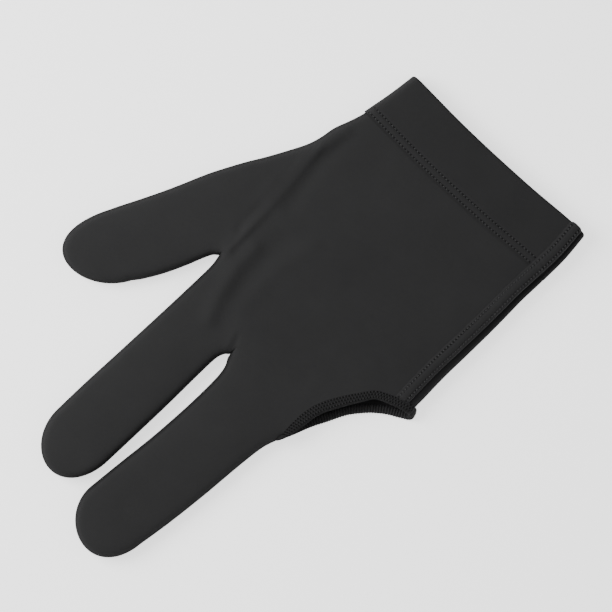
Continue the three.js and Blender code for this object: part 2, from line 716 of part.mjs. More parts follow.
function openingEdging() {
  const half = EDGING_THICKNESS / 2;
  const upper = edgingArm(upperRim, (r) => {
    const d = Math.min(edgeDistance(r.x, r.y) * 1.6, r.x - foldX(r.y));
    return topHeight(r.x, r.y, Math.max(d, 0.5)) - half + 0.3;
  });
  const lower = edgingArm(lowerRim, () => half).reverse();
  lower.forEach((s) => {
    s.along.negate();
    s.out.negate();
  });
  const stations = upper.concat(ribbonTurn(upper[ARM_STEPS], lower[0]), lower,
    ribbonTurn(lower[ARM_STEPS], upper[0]));
  const count = stations.length;
  const points = [];
  stations.forEach((s) => {
    for (let k = 0; k < SECTION_SIDES; k += 1) {
      const angle = (2 * Math.PI * k) / SECTION_SIDES;
      const c = Math.cos(angle);
      const v = Math.sin(angle);
      const u = Math.sign(c) * Math.abs(c) ** 0.7 * s.width / 2;
      const w = Math.sign(v) * Math.abs(v) ** 0.7 * half;
      const p = s.place.clone().addScaledVector(s.across, u).addScaledVector(s.out, w);
      points.push([p.x, p.y, p.z]);
    }
  });
  const faces = [];
  for (let i = 0; i < count; i += 1) {
    for (let k = 0; k < SECTION_SIDES; k += 1) {
      const next = (k + 1) % SECTION_SIDES;
      const a = i * SECTION_SIDES + k;
      const b = i * SECTION_SIDES + next;
      const c = ((i + 1) % count) * SECTION_SIDES + next;
      const d = ((i + 1) % count) * SECTION_SIDES + k;
      faces.push([a, b, c], [a, c, d]);
    }
  }
  return geometryOf(points, faces, 1);
}

// A body's signed volume, which is negative when its faces point inward.
function signedVolume(geometry) {
  const p = geometry.getAttribute("position");
  const index = geometry.getIndex().array;
  const a = new THREE.Vector3();
  const b = new THREE.Vector3();
  const c = new THREE.Vector3();
  let sum = 0;
  for (let i = 0; i < index.length; i += 3) {
    a.fromBufferAttribute(p, index[i]);
    b.fromBufferAttribute(p, index[i + 1]);
    c.fromBufferAttribute(p, index[i + 2]);
    sum += a.dot(b.cross(c)) / 6;
  }
  return sum;
}

const cloth = (color, roughness) => new THREE.MeshStandardMaterial({ color, roughness, metalness: 0 });
const PANEL_PARTS = ["panel", ...FINGER_NAMES];
const upperBodies = upperPanel();
const lowerBodies = lowerPanel();
const pieces = [
  ...PANEL_PARTS.map((part, i) => [`upper_${part}`, upperBodies[i], cloth(0x2b2b2c, 0.9)]),
  ...PANEL_PARTS.map((part, i) => [`lower_${part}`, lowerBodies[i], cloth(0x1e1e1f, 0.92)]),
  ["wrist_cuff", wristCuff(), cloth(0x2a2a2b, 0.9)],
  ["side_seam_band", sideSeamBand(), cloth(0x262627, 0.88)],
  ["opening_edging", openingEdging(), cloth(0x222223, 0.85)],
];

const glove = new THREE.Group();
const box = new THREE.Box3();
pieces.forEach(([name, geometry, material]) => {
  if (signedVolume(geometry) < 0) {
    const index = Array.from(geometry.getIndex().array);
    for (let i = 0; i < index.length; i += 3) [index[i + 1], index[i + 2]] = [index[i + 2], index[i + 1]];
    geometry.setIndex(index);
    geometry.computeVertexNormals();
  }
  geometry.computeBoundingBox();
  box.union(geometry.boundingBox);
  const mesh = new THREE.Mesh(geometry, material);
  mesh.name = name;
  glove.add(mesh);
});
glove.position.set(-(box.min.x + box.max.x) / 2, -(box.min.y + box.max.y) / 2, -box.min.z);

export default glove;
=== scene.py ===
"""Three-finger billiard glove of black stretch cloth, lying flat with the back of the hand up.

Lengths are in metres. The pattern is drawn on a plan whose origin is the middle of the wrist rim,
with the fingertips toward +Y and the thumb toward +X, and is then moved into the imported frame.
"""

import bpy
import numpy as np
from mathutils import Matrix, Vector


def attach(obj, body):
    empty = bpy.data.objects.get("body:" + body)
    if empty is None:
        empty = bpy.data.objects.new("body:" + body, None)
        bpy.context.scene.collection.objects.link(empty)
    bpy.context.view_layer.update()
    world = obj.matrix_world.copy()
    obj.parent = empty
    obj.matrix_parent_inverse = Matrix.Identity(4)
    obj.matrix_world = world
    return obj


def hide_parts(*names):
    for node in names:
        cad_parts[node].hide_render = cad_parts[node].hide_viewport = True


bl_info = {
    "name": "Billiard glove",
    "version": (1, 0, 0),
    "blender": (4, 5, 0),
    "location": "View3D > Sidebar > Glove",
    "description": "Builds a three-finger glove of stretch cloth with its seams and stitches",
    "category": "Add Mesh",
}

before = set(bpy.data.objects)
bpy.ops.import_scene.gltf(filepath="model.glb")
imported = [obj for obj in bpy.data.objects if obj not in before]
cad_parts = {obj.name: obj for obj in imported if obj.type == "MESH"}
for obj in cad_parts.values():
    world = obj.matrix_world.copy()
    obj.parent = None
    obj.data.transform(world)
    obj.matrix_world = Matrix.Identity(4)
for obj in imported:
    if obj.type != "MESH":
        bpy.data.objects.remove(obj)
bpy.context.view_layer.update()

MM = 0.001
ROOT = "root"

# Where the plan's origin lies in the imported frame.
PLAN_ORIGIN = (-13.07199 * MM, -105.61784 * MM)

# Sides of the palm: y is a share of the palm's length, fold and thumb are shares of its width.
PALM_SIDES = {
    "y": (-0.08, 0.06, 0.15, 0.23, 0.28, 0.33, 0.38, 0.42, 0.47, 0.54, 0.60, 0.68, 0.72),
    "fold": (-0.480, -0.500, -0.513, -0.519, -0.526, -0.533, -0.539,
             -0.543, -0.548, -0.554, -0.562, -0.576, -0.586),
    "thumb": (0.458, 0.468, 0.474, 0.478, 0.492, 0.511, 0.518,
              0.530, 0.557, 0.599, 0.639, 0.686, 0.707),
}

# Wrist rim across the glove: x is a share of the palm's width, y of its length.
RIM_LINE = {
    "x": (-0.52, -0.40, -0.17, 0.16, 0.46),
    "y": (-0.0370, -0.0275, 0.0010, 0.0320, 0.0490),
}

# Sides of the wrist cuff: along is a share of its depth, the rest are shares of the palm's width.
CUFF_SIDES = {
    "along": (0.0, 0.5, 1.0),
    "fold": (-0.481, -0.503, -0.5135),
    "thumb": (0.466, 0.472, 0.484),
}

# Side seam band: share of its run, and its distance from the fold as a share of its width.
BAND_RUN = {"along": (0.0, 0.3, 1.0), "inset": (0.375, 0.464, 0.607)}

# Height across the side seam band, a share of its thickness, with a groove under each stitch row.
BAND_PROFILE = {
    "across": (0.0, 0.04, 0.10, 0.16, 0.22, 0.28, 0.36, 0.52, 0.66, 0.73, 0.80, 0.87, 0.94, 1.0),
    "height": (0.10, 0.62, 0.92, 0.88, 0.76, 0.88, 1.0, 1.0, 0.86, 0.68, 0.46, 0.42, 0.24, 0.02),
}

# Where the two stitch rows of the side seam band lie, shares of its width.
BAND_ROWS = (0.22, 0.80)

# Stitch rows on the edging's upper arm: where each lies, a share of the way from its middle line
# to the cloth, or to the free edge if it is negative. Each row leads the one before by a share of
# the pitch.
EDGE_ROWS = {"cloth_row": 0.66, "middle_row": 0.12, "free_row": -0.44}
EDGE_STAGGER = 0.36

# Stitches of each seam: the share of a pitch that one takes, its half width as a share of the
# thread, and how far it stands off the cloth.
STITCH = {"hem": (0.52, 0.65, 0.08 * MM), "side": (0.55, 0.80, 0.12 * MM),
          "edge": (0.55, 0.50, 0.05 * MM)}

# Mesh rows up the fold and the opening, along a finger and round its tip, and columns across it.
MESH = {"fold": 56, "opening": 44, "finger": 64, "tip": 17, "columns": 36}

# Stations along each of the edging's arms.
ARM_STEPS = 120

# Power that squares off the edging's oval section.
SQUARENESS = 0.7

# Share of the edging's arms after which they leave the cloth and thin toward their ends, how far
# they leave it, what they gain in width and what share they lose of their thickness.
ARM_END = {"from": 0.72, "away": 0.45 * MM, "wider": 0.9 * MM, "thinner": 0.6}

# Turns between the edging's two arms, at the middle finger's root and at the corner by the fold.
ROOT_TURN = {"reach": 13.0 * MM, "steps": 24, "thinning": 0.75, "inward": 0.6 * MM}
CORNER_TURN = {"reach": 8.0 * MM, "steps": 20, "thinning": -0.10, "inward": 0.18 * MM}

# Spacing in millimetres of the knit's wales and courses, the edging's ribs and the thread's twist.
WALE = 0.52
COURSE = 0.44
RIB = 0.53
TWIST = 0.21
TURN = 2 * np.pi

# How near a needle hole the cloth is dark and how near a row the thread pulls, in millimetres.
HOLE = (0.16, 0.50)
PULL = (0.1, 0.9)

# Nothing on the far side of a piece lies this near a stitch row.
FAR = 9 * MM

# Where the fold ends at the opening and where the thumb leaves the palm, shares of the length,
# and the share of the way up the palm that its rows have climbed where the fold ends.
FOLD_END = 0.675
THUMB_ROOT = 0.71
FOLD_SPAN = 0.62

# Fingers: base point in shares of the palm's width and length, lean toward the thumb in degrees,
# width a share of the palm's, tip the share of the length that the rounded end takes, hook the
# sideways drift of the tip as a share of the width, start the share of the length at which each
# side leaves the palm, sides as shares along and across the finger.
FINGERS = {
    "middle": {
        "base": (-0.133, 1.025), "lean": 0.2, "width": 0.320, "tip": 0.19, "hook": -0.045,
        "start": {"left": 0.060, "right": -0.037},
        "sides": {
            "along": (-0.037, -0.015, 0.010, 0.050, 0.120, 0.250, 0.450, 0.650, 0.810),
            "left": (0.640, 0.615, 0.590, 0.565, 0.521, 0.509, 0.511, 0.497, 0.468),
            "right": (0.662, 0.640, 0.592, 0.555, 0.528, 0.501, 0.486, 0.497, 0.503),
        },
    },
    "index": {
        "base": (0.252, 0.931), "lean": -3.2, "width": 0.295, "tip": 0.20, "hook": -0.03,
        "start": {"left": 0.109, "right": -0.144},
        "sides": {
            "along": (-0.144, -0.110, -0.070, 0.109, 0.125, 0.160, 0.250, 0.450, 0.650, 0.800),
            "left": (0.560, 0.562, 0.564, 0.566, 0.520, 0.482, 0.478, 0.491, 0.493, 0.492),
            "right": (0.531, 0.507, 0.496, 0.494, 0.494, 0.495, 0.497, 0.505, 0.514, 0.510),
        },
    },
    "thumb": {
        "base": (0.561, 0.781), "lean": 22.6, "width": 0.3135, "tip": 0.38, "hook": 0.085,
        "start": {"left": 0.023, "right": -0.057},
        "sides": {
            "along": (-0.057, 0.023, 0.060, 0.120, 0.250, 0.400, 0.550, 0.620),
            "left": (0.530, 0.519, 0.493, 0.495, 0.520, 0.533, 0.519, 0.495),
            "right": (0.533, 0.523, 0.516, 0.507, 0.492, 0.483, 0.479, 0.474),
        },
    },
}

# Shares of the wrist and of the line of finger roots that each finger's cloth takes.
BOTTOM_SHARE = {"middle": (0.0, 0.5), "index": (0.5, 0.86), "thumb": (0.86, 1.0)}
ROOT_SHARE = {"middle": (0.0, 0.38), "index": (0.38, 0.70), "thumb": (0.70, 1.0)}

# Middle line of the opening's edging from the corner by the fold to the middle finger's root:
# x and y are shares of the palm's width and length, width is a share of the edging's.
UPPER_RIM = {
    "x": (-0.572, -0.552, -0.519, -0.471, -0.428, -0.399, -0.359, -0.324, -0.312, -0.312, -0.312),
    "y": (0.6958, 0.6975, 0.7066, 0.7256, 0.7461, 0.7808, 0.8375, 0.9014, 0.9732, 1.015, 1.038),
    "width": (0.90, 0.95, 0.92, 0.85, 0.82, 0.88, 1.00, 1.00, 0.88, 0.52, 0.20),
}
LOWER_RIM = {
    "x": (-0.574, -0.546, -0.513, -0.467, -0.432, -0.404, -0.369, -0.336, -0.320, -0.313),
    "y": (0.7165, 0.7311, 0.7480, 0.7800, 0.8131, 0.8462, 0.9109, 0.9740, 1.0150, 1.0380),
    "width": (0.72, 0.74, 0.74, 0.74, 0.74, 0.74, 0.74, 0.68, 0.44, 0.20),
}

# Folds of the back: height is a share of the body's rise (a valley is negative), reach a share of
# its reach, and line runs through shares of the palm's width and length.
FOLDS = (
    (0.54, 0.20, ((0.405, 0.815), (0.440, 0.721), (0.481, 0.580), (0.499, 0.471), (0.466, 0.317))),
    (-0.32, 0.17, ((0.413, 0.781), (0.455, 0.720), (0.458, 0.644))),
    (-0.39, 0.23, ((0.385, 0.580), (0.431, 0.435), (0.444, 0.330))),
    (-0.29, 0.31, ((0.289, 0.659), (0.293, 0.745), (0.284, 0.816), (0.258, 0.910), (0.212, 0.985))),
    (0.25, 0.25, ((0.20, 0.60), (0.22, 0.74), (0.20, 0.88))),
)

# Small creases that only the finished cloth has, written as the folds are.
CREASES = (
    (-0.20, 0.07, ((0.113, 0.950), (0.098, 0.966), (0.091, 0.985))),
    (0.14, 0.10, ((0.135, 0.948), (0.118, 0.970), (0.112, 0.990))),
    (-0.16, 0.12, ((0.420, 0.940), (0.392, 0.900), (0.380, 0.850))),
    (-0.12, 0.16, ((-0.420, 0.690), (-0.300, 0.650), (-0.180, 0.640))),
    (0.10, 0.20, ((-0.250, 0.900), (-0.200, 0.800), (-0.190, 0.700))),
    (0.80, 0.27, ((0.341, 0.745), (0.333, 0.812), (0.309, 0.868), (0.284, 0.915), (0.244, 0.975))),
    (-0.16, 0.26, ((0.250, 0.760), (0.240, 0.840), (0.205, 0.905), (0.165, 0.970))),
    (0.34, 0.11, ((0.484, 0.400), (0.459, 0.490), (0.432, 0.610), (0.414, 0.720), (0.403, 0.800))),
    (-0.30, 0.12, ((0.508, 0.480), (0.487, 0.560), (0.466, 0.650), (0.441, 0.742))),
)


class GloveSizes(bpy.types.PropertyGroup):
    """Cutting sizes of the glove."""

    palm_width: bpy.props.FloatProperty(
        name="Palm width", description="Width of the flat palm at the wrist",
        default=92.5 * MM, min=60 * MM, max=130 * MM, unit="LENGTH")
    palm_length: bpy.props.FloatProperty(
        name="Palm length", description="From the wrist rim to the root of the middle finger",
        default=126.8 * MM, min=90 * MM, max=170 * MM, unit="LENGTH")
    middle_length: bpy.props.FloatProperty(
        name="Middle finger", description="Length of the middle finger's stall",
        default=85.6 * MM, min=50 * MM, max=120 * MM, unit="LENGTH")
    index_length: bpy.props.FloatProperty(
        name="Index finger", description="Length of the index finger's stall",
        default=89.0 * MM, min=50 * MM, max=120 * MM, unit="LENGTH")
    thumb_length: bpy.props.FloatProperty(
        name="Thumb", description="Length of the thumb's stall",
        default=57.5 * MM, min=35 * MM, max=85 * MM, unit="LENGTH")
    cuff_depth: bpy.props.FloatProperty(
        name="Cuff depth", description="Depth of the doubled hem at the wrist",
        default=23.0 * MM, min=12 * MM, max=40 * MM, unit="LENGTH")
    ply: bpy.props.FloatProperty(
        name="Cloth", description="Thickness of one layer of cloth",
        default=1.2 * MM, min=0.5 * MM, max=2 * MM, unit="LENGTH")
    cuff_wall: bpy.props.FloatProperty(
        name="Cuff wall", description="Thickness of the doubled hem",
        default=2.0 * MM, min=1 * MM, max=3 * MM, unit="LENGTH")
    seam_height: bpy.props.FloatProperty(
        name="Seam height", description="Height of the seam between the upper and lower cloth",
        default=3.0 * MM, min=2 * MM, max=6 * MM, unit="LENGTH")
    edge_rise: bpy.props.FloatProperty(
        name="Edge rise", description="How far the cloth rises within the rounded edge",
        default=3.1 * MM, min=1 * MM, max=6 * MM, unit="LENGTH")
    edge_reach: bpy.props.FloatProperty(
        name="Edge reach", description="Width of the rounded edge",
        default=3.2 * MM, min=1 * MM, max=8 * MM, unit="LENGTH")
    body_rise: bpy.props.FloatProperty(
        name="Body rise", description="Further rise of the cloth over the fingers and palm",
        default=1.4 * MM, min=0, max=5 * MM, unit="LENGTH")
    body_reach: bpy.props.FloatProperty(
        name="Body reach", description="Distance from the edge over which that rise takes place",
        default=13.0 * MM, min=5 * MM, max=30 * MM, unit="LENGTH")
    palm_crown: bpy.props.FloatProperty(
        name="Palm crown", description="Last rise toward the middle of the palm",
        default=0.6 * MM, min=0, max=4 * MM, unit="LENGTH")
    palm_reach: bpy.props.FloatProperty(
        name="Palm reach", description="Distance from the edge over which the crown is reached",
        default=40.0 * MM, min=15 * MM, max=60 * MM, unit="LENGTH")
    cuff_seam: bpy.props.FloatProperty(
        name="Cuff side height", description="Height of the cuff's two side edges",
        default=3.2 * MM, min=2 * MM, max=6 * MM, unit="LENGTH")
    cuff_rise: bpy.props.FloatProperty(
        name="Cuff edge rise", description="How far the cuff rises within its rounded edge",
        default=3.5 * MM, min=1 * MM, max=6 * MM, unit="LENGTH")
    lap: bpy.props.FloatProperty(
        name="Lap", description="How far the lower cloth wraps over the fold onto the back",
        default=3.9 * MM, min=2 * MM, max=8 * MM, unit="LENGTH")
    band_width: bpy.props.FloatProperty(
        name="Seam band width", description="Width of the flat seam along the fold",
        default=5.6 * MM, min=3 * MM, max=10 * MM, unit="LENGTH")
    band_thickness: bpy.props.FloatProperty(
        name="Seam band thickness", description="Thickness of the flat seam, from the cloth up",
        default=1.25 * MM, min=0.4 * MM, max=2 * MM, unit="LENGTH")
    edging_width: bpy.props.FloatProperty(
        name="Edging width", description="Full width of the opening's edging",
        default=4.3 * MM, min=2 * MM, max=8 * MM, unit="LENGTH")
    edging_thickness: bpy.props.FloatProperty(
        name="Edging thickness", description="Thickness of the opening's edging",
        default=1.7 * MM, min=0.8 * MM, max=3 * MM, unit="LENGTH")


class GloveStitching(bpy.types.PropertyGroup):
    """Sizes of the thread and its spacing."""

    pitch: bpy.props.FloatProperty(
        name="Stitch pitch", description="Distance between two stitches of a row",
        default=1.5 * MM, min=1 * MM, max=4 * MM, unit="LENGTH")
    thread: bpy.props.FloatProperty(
        name="Thread", description="Thickness of the sewing thread",
        default=0.40 * MM, min=0.15 * MM, max=0.6 * MM, unit="LENGTH")
    band_pitch: bpy.props.FloatProperty(
        name="Seam pitch", description="Distance between two stitches on the side seam",
        default=1.36 * MM, min=1 * MM, max=4 * MM, unit="LENGTH")
    edge_pitch: bpy.props.FloatProperty(
        name="Edging pitch", description="Distance between two stitches on the edging's back",
        default=1.15 * MM, min=0.8 * MM, max=3 * MM, unit="LENGTH")
    loop_pitch: bpy.props.FloatProperty(
        name="Loop pitch", description="Distance between two overlock loops of the edging",
        default=1.05 * MM, min=0.6 * MM, max=3 * MM, unit="LENGTH")
    first_row: bpy.props.FloatProperty(
        name="First hem row", description="Distance of the outer stitch row from the hem's end",
        default=3.6 * MM, min=2 * MM, max=8 * MM, unit="LENGTH")
    second_row: bpy.props.FloatProperty(
        name="Second hem row", description="Distance of the inner stitch row from the hem's end",
        default=0.95 * MM, min=0.5 * MM, max=4 * MM, unit="LENGTH")


class GloveColours(bpy.types.PropertyGroup):
    """Colours of the cloth, thread and surroundings."""

    cloth: bpy.props.FloatVectorProperty(
        name="Cloth", description="Colour of the back of the glove",
        subtype="COLOR", size=3, min=0, max=1, default=(0.0250, 0.0250, 0.0254))
    # Painted shade: a darker copy of the cloth's colour for the same knit, given to the lower cloth
    # and to the strip that laps over the fold.
    shaded_palm_cloth: bpy.props.FloatVectorProperty(
        name="Palm cloth", description="Colour of the lower cloth and the strip over the fold",
        subtype="COLOR", size=3, min=0, max=1, default=(0.0150, 0.0150, 0.0153))
    band: bpy.props.FloatVectorProperty(
        name="Seam band", description="Colour of the flat seam",
        subtype="COLOR", size=3, min=0, max=1, default=(0.0243, 0.0243, 0.0247))
    edging: bpy.props.FloatVectorProperty(
        name="Edging", description="Colour of the opening's edging",
        subtype="COLOR", size=3, min=0, max=1, default=(0.0170, 0.0170, 0.0173))
    thread: bpy.props.FloatVectorProperty(
        name="Thread", description="Colour of the sewing thread",
        subtype="COLOR", size=3, min=0, max=1, default=(0.050, 0.050, 0.051))
    edge_thread: bpy.props.FloatVectorProperty(
        name="Edge thread", description="Colour of the overlock thread at the opening",
        subtype="COLOR", size=3, min=0, max=1, default=(0.034, 0.034, 0.0345))
    floor: bpy.props.FloatVectorProperty(
        name="Floor", description="Colour of the surface under the glove",
        subtype="COLOR", size=3, min=0, max=1, default=(0.92, 0.92, 0.92))


def mix(a, b, share):
    """a at share 0, b at share 1, and straight between them."""
    return a + (b - a) * share


def mix_points(a, b, share):
    """mix() for plan points, with one share per point."""
    return a + (b - a) * np.asarray(share)[..., None]


def smooth(share):
    """3s² - 2s³, which leaves 0 and reaches 1 level."""
    return share * share * (3 - 2 * share)


def rounded(q):
    """(1 - (1 - q)^2.5)^0.4: a quarter of a squarish round, from 0 at q = 0 to 1 at q = 1."""
    return (1 - (1 - np.clip(q, 0, 1)) ** 2.5) ** 0.4


def read_table(table, key, column, at):
    """A column read at any place along the key column, by cubic Hermite arcs through its rows.

    The slope at a row is that of the chord between its neighbours.
    """
    x, y = np.array(table[key]), np.array(table[column])
    at = np.clip(at, x[0], x[-1])
    rows = np.arange(len(x))
    before, after = np.maximum(rows - 1, 0), np.minimum(rows + 1, len(x) - 1)
    slope = (y[after] - y[before]) / (x[after] - x[before])
    i = np.clip(np.searchsorted(x, at) - 1, 0, len(x) - 2)
    span = x[i + 1] - x[i]
    s = (at - x[i]) / span
    return ((2 * s**3 - 3 * s**2 + 1) * y[i] + (s**3 - 2 * s**2 + s) * span * slope[i]
            + (3 * s**2 - 2 * s**3) * y[i + 1] + (s**3 - s**2) * span * slope[i + 1])


def distance_to(line, x, y):
    """Distance of each plan point from a polyline: the least over its segments."""
    x, y = np.broadcast_arrays(x, y)
    points = np.stack([x.ravel(), y.ravel()], 1)
    start, run = line[:-1], np.diff(line, axis=0)
    size = np.maximum((run**2).sum(1), 1e-18)
    nearest = []
    for part in np.array_split(points, max(1, len(points) // 4000)):
        away = part[:, None] - start
        t = np.clip((away * run).sum(2) / size, 0, 1)
        nearest.append(np.hypot(*np.moveaxis(away - run * t[..., None], 2, 0)).min(1))
    return np.concatenate(nearest).reshape(x.shape)


def unit(v):
    """Each vector divided by its length."""
    return v / np.maximum(np.linalg.norm(v, axis=-1, keepdims=True), 1e-12)


def eased(count):
    """count + 1 shares from 0 to 1, close together at both ends."""
    return smooth(np.linspace(0, 1, count + 1))


class RimCurve:
    """A curve through a rim table's rows, read by the share of its length.

    It is a Catmull-Rom curve whose knots lie the square root of each chord apart.
    """

    def __init__(self, table, width, length, edging):
        p = np.stack([np.array(table["x"]) * width, np.array(table["y"]) * length,
                      np.array(table["width"]) * edging], 1)
        p = np.vstack([2 * p[0] - p[1], p, 2 * p[-1] - p[-2]])
        knots = np.linalg.norm(np.diff(p[:, :2], axis=0), axis=1)[:, None] ** 0.5
        before, inside, after = knots[:-2], knots[1:-1], knots[2:]
        p0, p1, p2, p3 = p[:-3], p[1:-2], p[2:-1], p[3:]
        leave = ((p1 - p0) / before - (p2 - p0) / (before + inside) + (p2 - p1) / inside) * inside
        arrive = ((p2 - p1) / inside - (p3 - p1) / (inside + after) + (p3 - p2) / after) * inside
        u = np.linspace(0, 1, 24, endpoint=False)[None, :, None]
        curve = ((2 * u**3 - 3 * u**2 + 1) * p1[:, None] + (u**3 - 2 * u**2 + u) * leave[:, None]
                 + (3 * u**2 - 2 * u**3) * p2[:, None] + (u**3 - u**2) * arrive[:, None])
        self.points = np.vstack([curve.reshape(-1, 3), p[-2]])
        self.run = run_along(self.points[:, :2])
        self.length = self.run[-1]

    def at(self, share):
        """Plan place, width, and the direction across the edging toward the cloth."""
        def read(s):
            return interpolated(self.points, self.run, np.clip(s, 0, 1) * self.length)

        near = 0.004
        share = np.asarray(share, float)
        here = read(share)
        ahead = unit((read(share + near) - read(share - near))[..., :2])
        across = np.stack([ahead[..., 1], -ahead[..., 0]], -1)
        return here[..., :2], here[..., 2], across


class Finger:
    """One stall of the glove as a function of rows along it and shares across it."""

    def __init__(self, name, palm_width, palm_length, length):
        facts = FINGERS[name]
        lean = np.radians(facts["lean"])
        self.along = np.array([np.sin(lean), np.cos(lean)])
        self.across = np.array([np.cos(lean), -np.sin(lean)])
        self.base = np.array(facts["base"]) * (palm_width, palm_length)
        self.width = facts["width"] * palm_width
        self.length = length
        self.tip = facts["tip"]
        self.hook = facts["hook"]
        self.sides = facts["sides"]
        self.start = facts["start"]
        self.tip_start = length * (1 - self.tip)

    def place(self, s, offset):
        """Plan point at distance s along the finger and offset across it."""
        return (self.base + np.asarray(s)[..., None] * self.along
                + np.asarray(offset)[..., None] * self.across)

    def side(self, name, row):
        """Point on one side, row 0 at the root and 1 where the tip starts."""
        s = mix(self.start[name] * self.length, self.tip_start, np.asarray(row, float))
        return self.place(s, self.offset(name, s))

    def offset(self, name, s):
        """Signed distance of one side from the finger's middle line."""
        sign = -1 if name == "left" else 1
        return sign * self.width * read_table(self.sides, "along", name, s / self.length)

    def body(self, row, share):
        """Plan point between the two sides."""
        return mix_points(self.side("left", row), self.side("right", row), share)

    def end(self, row, share):
        """The rounded tip: a square of rows and shares laid on half an ellipse."""
        left, right = (self.offset(name, self.tip_start) for name in ("left", "right"))
        p = 2 * share - 1
        x = (right - left) / 2 * p * np.sqrt(1 - row * row / 2)
        rise = row * np.sqrt(1 - p * p / 2)
        drift = self.hook * self.width * rise * rise
        return self.place(self.tip_start + self.length * self.tip * rise,
                          (left + right) / 2 + x + drift)

    def outline(self):
        """The closed side, tip and other side as one polyline."""
        rows, tip = np.linspace(0, 1, 61), eased(40)
        turn = eased(80)
        return np.vstack([
            self.side("left", rows), self.end(tip, 0 * tip)[1:], self.end(1 + 0 * turn, turn)[1:],
            self.end(tip[::-1], 1 + 0 * tip)[1:], self.side("right", rows[::-1])[1:]])


class Pattern:
    """The glove's outlines, seams and heights as functions of the place on the plan.

    joint is the hair's breadth between two cloths that meet. The folds fade out within fold_margin
    of an edge, and the cuff's height within hem_taper of the hem's end.
    """

    joint = 0.03 * MM
    fold_margin = 8 * MM
    hem_taper = 5 * MM
    swell_height = 0.09 * MM
    hem_ridge = 0.16 * MM
    hem_groove = 0.20 * MM
    groove_reach = 0.42 * MM
    cut_edge = 0.36
    first_rim_share = 0.07

    def __init__(self, sizes, stitching):
        self.sizes = sizes
        self.rows = (stitching.first_row, stitching.second_row)
        self.width, self.length = sizes.palm_width, sizes.palm_length
        lengths = {"middle": sizes.middle_length, "index": sizes.index_length,
                   "thumb": sizes.thumb_length}
        self.fingers = {name: Finger(name, self.width, self.length, lengths[name])
                        for name in FINGERS}
        self.upper_rim = RimCurve(UPPER_RIM, self.width, self.length, sizes.edging_width)
        self.lower_rim = RimCurve(LOWER_RIM, self.width, self.length, sizes.edging_width)
        middle, index = self.fingers["middle"], self.fingers["index"]
        thumb_y = THUMB_ROOT * self.length
        corners = [middle.side("left", 0), middle.side("right", 0), index.side("right", 0),
                   np.array([self.thumb_x(thumb_y), thumb_y])]
        self.roots = {name: (corners[k], corners[k + 1]) for k, name in enumerate(FINGERS)}
        self.first_root, self.last_root = corners[0], corners[-1]
        wrist = PALM_SIDES["y"][0]
        y = np.linspace(wrist, FOLD_END, 60) * self.length
        self.fold_line = np.stack([self.fold_x(y), y], 1)
        y = np.linspace(THUMB_ROOT, wrist, 60) * self.length
        thumb_line = np.stack([self.thumb_x(y), y], 1)
        self.seam_line = np.vstack([finger.outline() for finger in self.fingers.values()]
                                   + [thumb_line])

    def fold_x(self, y):
        """Where the fold on the little finger's side lies."""
        return read_table(PALM_SIDES, "y", "fold", y / self.length) * self.width

    def thumb_x(self, y):
        """Where the seam on the thumb's side lies."""
        return read_table(PALM_SIDES, "y", "thumb", y / self.length) * self.width

    def rim_y(self, x):
        """The wrist rim's line."""
        return read_table(RIM_LINE, "x", "y", x / self.width) * self.length

    def hem_y(self, x):
        """The hem's inner end, a cuff's depth from the rim."""
        return self.rim_y(x) + self.sizes.cuff_depth

    def cuff_x(self, side, along):
        """One side of the cuff at a share of its depth."""
        return read_table(CUFF_SIDES, "along", side, along) * self.width

    def hem_run(self, x):
        """Length along the hem from the plan's middle line."""
        at = np.linspace(-0.6, 0.6, 400) * self.width
        run = run_along(np.stack([at, self.hem_y(at)], 1))
        return np.interp(x, at, run) - np.interp(0, at, run)

    def edge_distance(self, x, y):
        """Distance from the nearest closed edge, the fold or a seam."""
        return np.minimum(distance_to(self.fold_line, x, y), distance_to(self.seam_line, x, y))

    def fold_height(self, x, y, folds):
        """Sum of the folds, each a bell curve of the distance from its line."""
        height = 0 * x
        for rise, reach, line in folds:
            away = distance_to(np.array(line) * (self.width, self.length), x, y)
            height = height + rise * self.sizes.body_rise * np.exp(
                -((away / (reach * self.sizes.body_reach)) ** 2))
        return height

    def swell(self, x, y):
        """Slight unevenness of laid cloth: long crossed waves, a tenth of a millimetre high."""
        u, v = x / MM, y / MM
        return self.swell_height * (np.sin(u / 9.1 + 1.3 * np.sin(v / 23.0)) * np.cos(v / 14.3 + 0.7)
                                    + 0.6 * np.sin(v / 6.7 + u / 11.9 + 2.1))

    def top_height(self, x, y, d):
        """Height of the back: seam, rounded edge, swelling body, crown and folds."""
        s = self.sizes
        rise = (s.edge_rise * rounded(d / s.edge_reach) + s.body_rise * rounded(d / s.body_reach)
                + s.palm_crown * rounded(d / s.palm_reach))
        folds = self.fold_height(x, y, FOLDS + CREASES) + self.swell(x, y)
        return s.seam_height + self.joint / 2 + rise + folds * rounded(d / self.fold_margin)

    def under_height(self, d):
        """Height of the palm side, which lies on the table but for its rounded edge."""
        s = self.sizes
        return (s.seam_height - self.joint / 2) * (1 - rounded(d / s.edge_reach))

    def cuff_top(self, x, y, d):
        """Height of the cuff's back, which comes down to the panel's at the hem's end."""
        s = self.sizes
        full = (s.cuff_seam + s.cuff_rise * rounded(d / s.edge_reach)
                + s.body_rise * rounded(d / s.body_reach) + s.palm_crown * rounded(d / s.palm_reach))
        height = mix(full, self.top_height(x, y, d), self.hem_share(x, y))
        return height + self.hem_relief(x, y) * rounded(d / self.fold_margin)

    def cuff_under(self, x, y, d):
        """Height of the cuff's lower side, flat on the table but for its rounded edge."""
        s = self.sizes
        seam = mix(s.cuff_seam, s.seam_height - self.joint / 2, self.hem_share(x, y))
        return seam * (1 - rounded(d / s.edge_reach))

    def hem_share(self, x, y):
        """0 over most of the cuff, easing to 1 at the hem's end, where the panels begin."""
        return smooth(np.clip(1 - (self.hem_y(x) - y) / self.hem_taper, 0, 1))

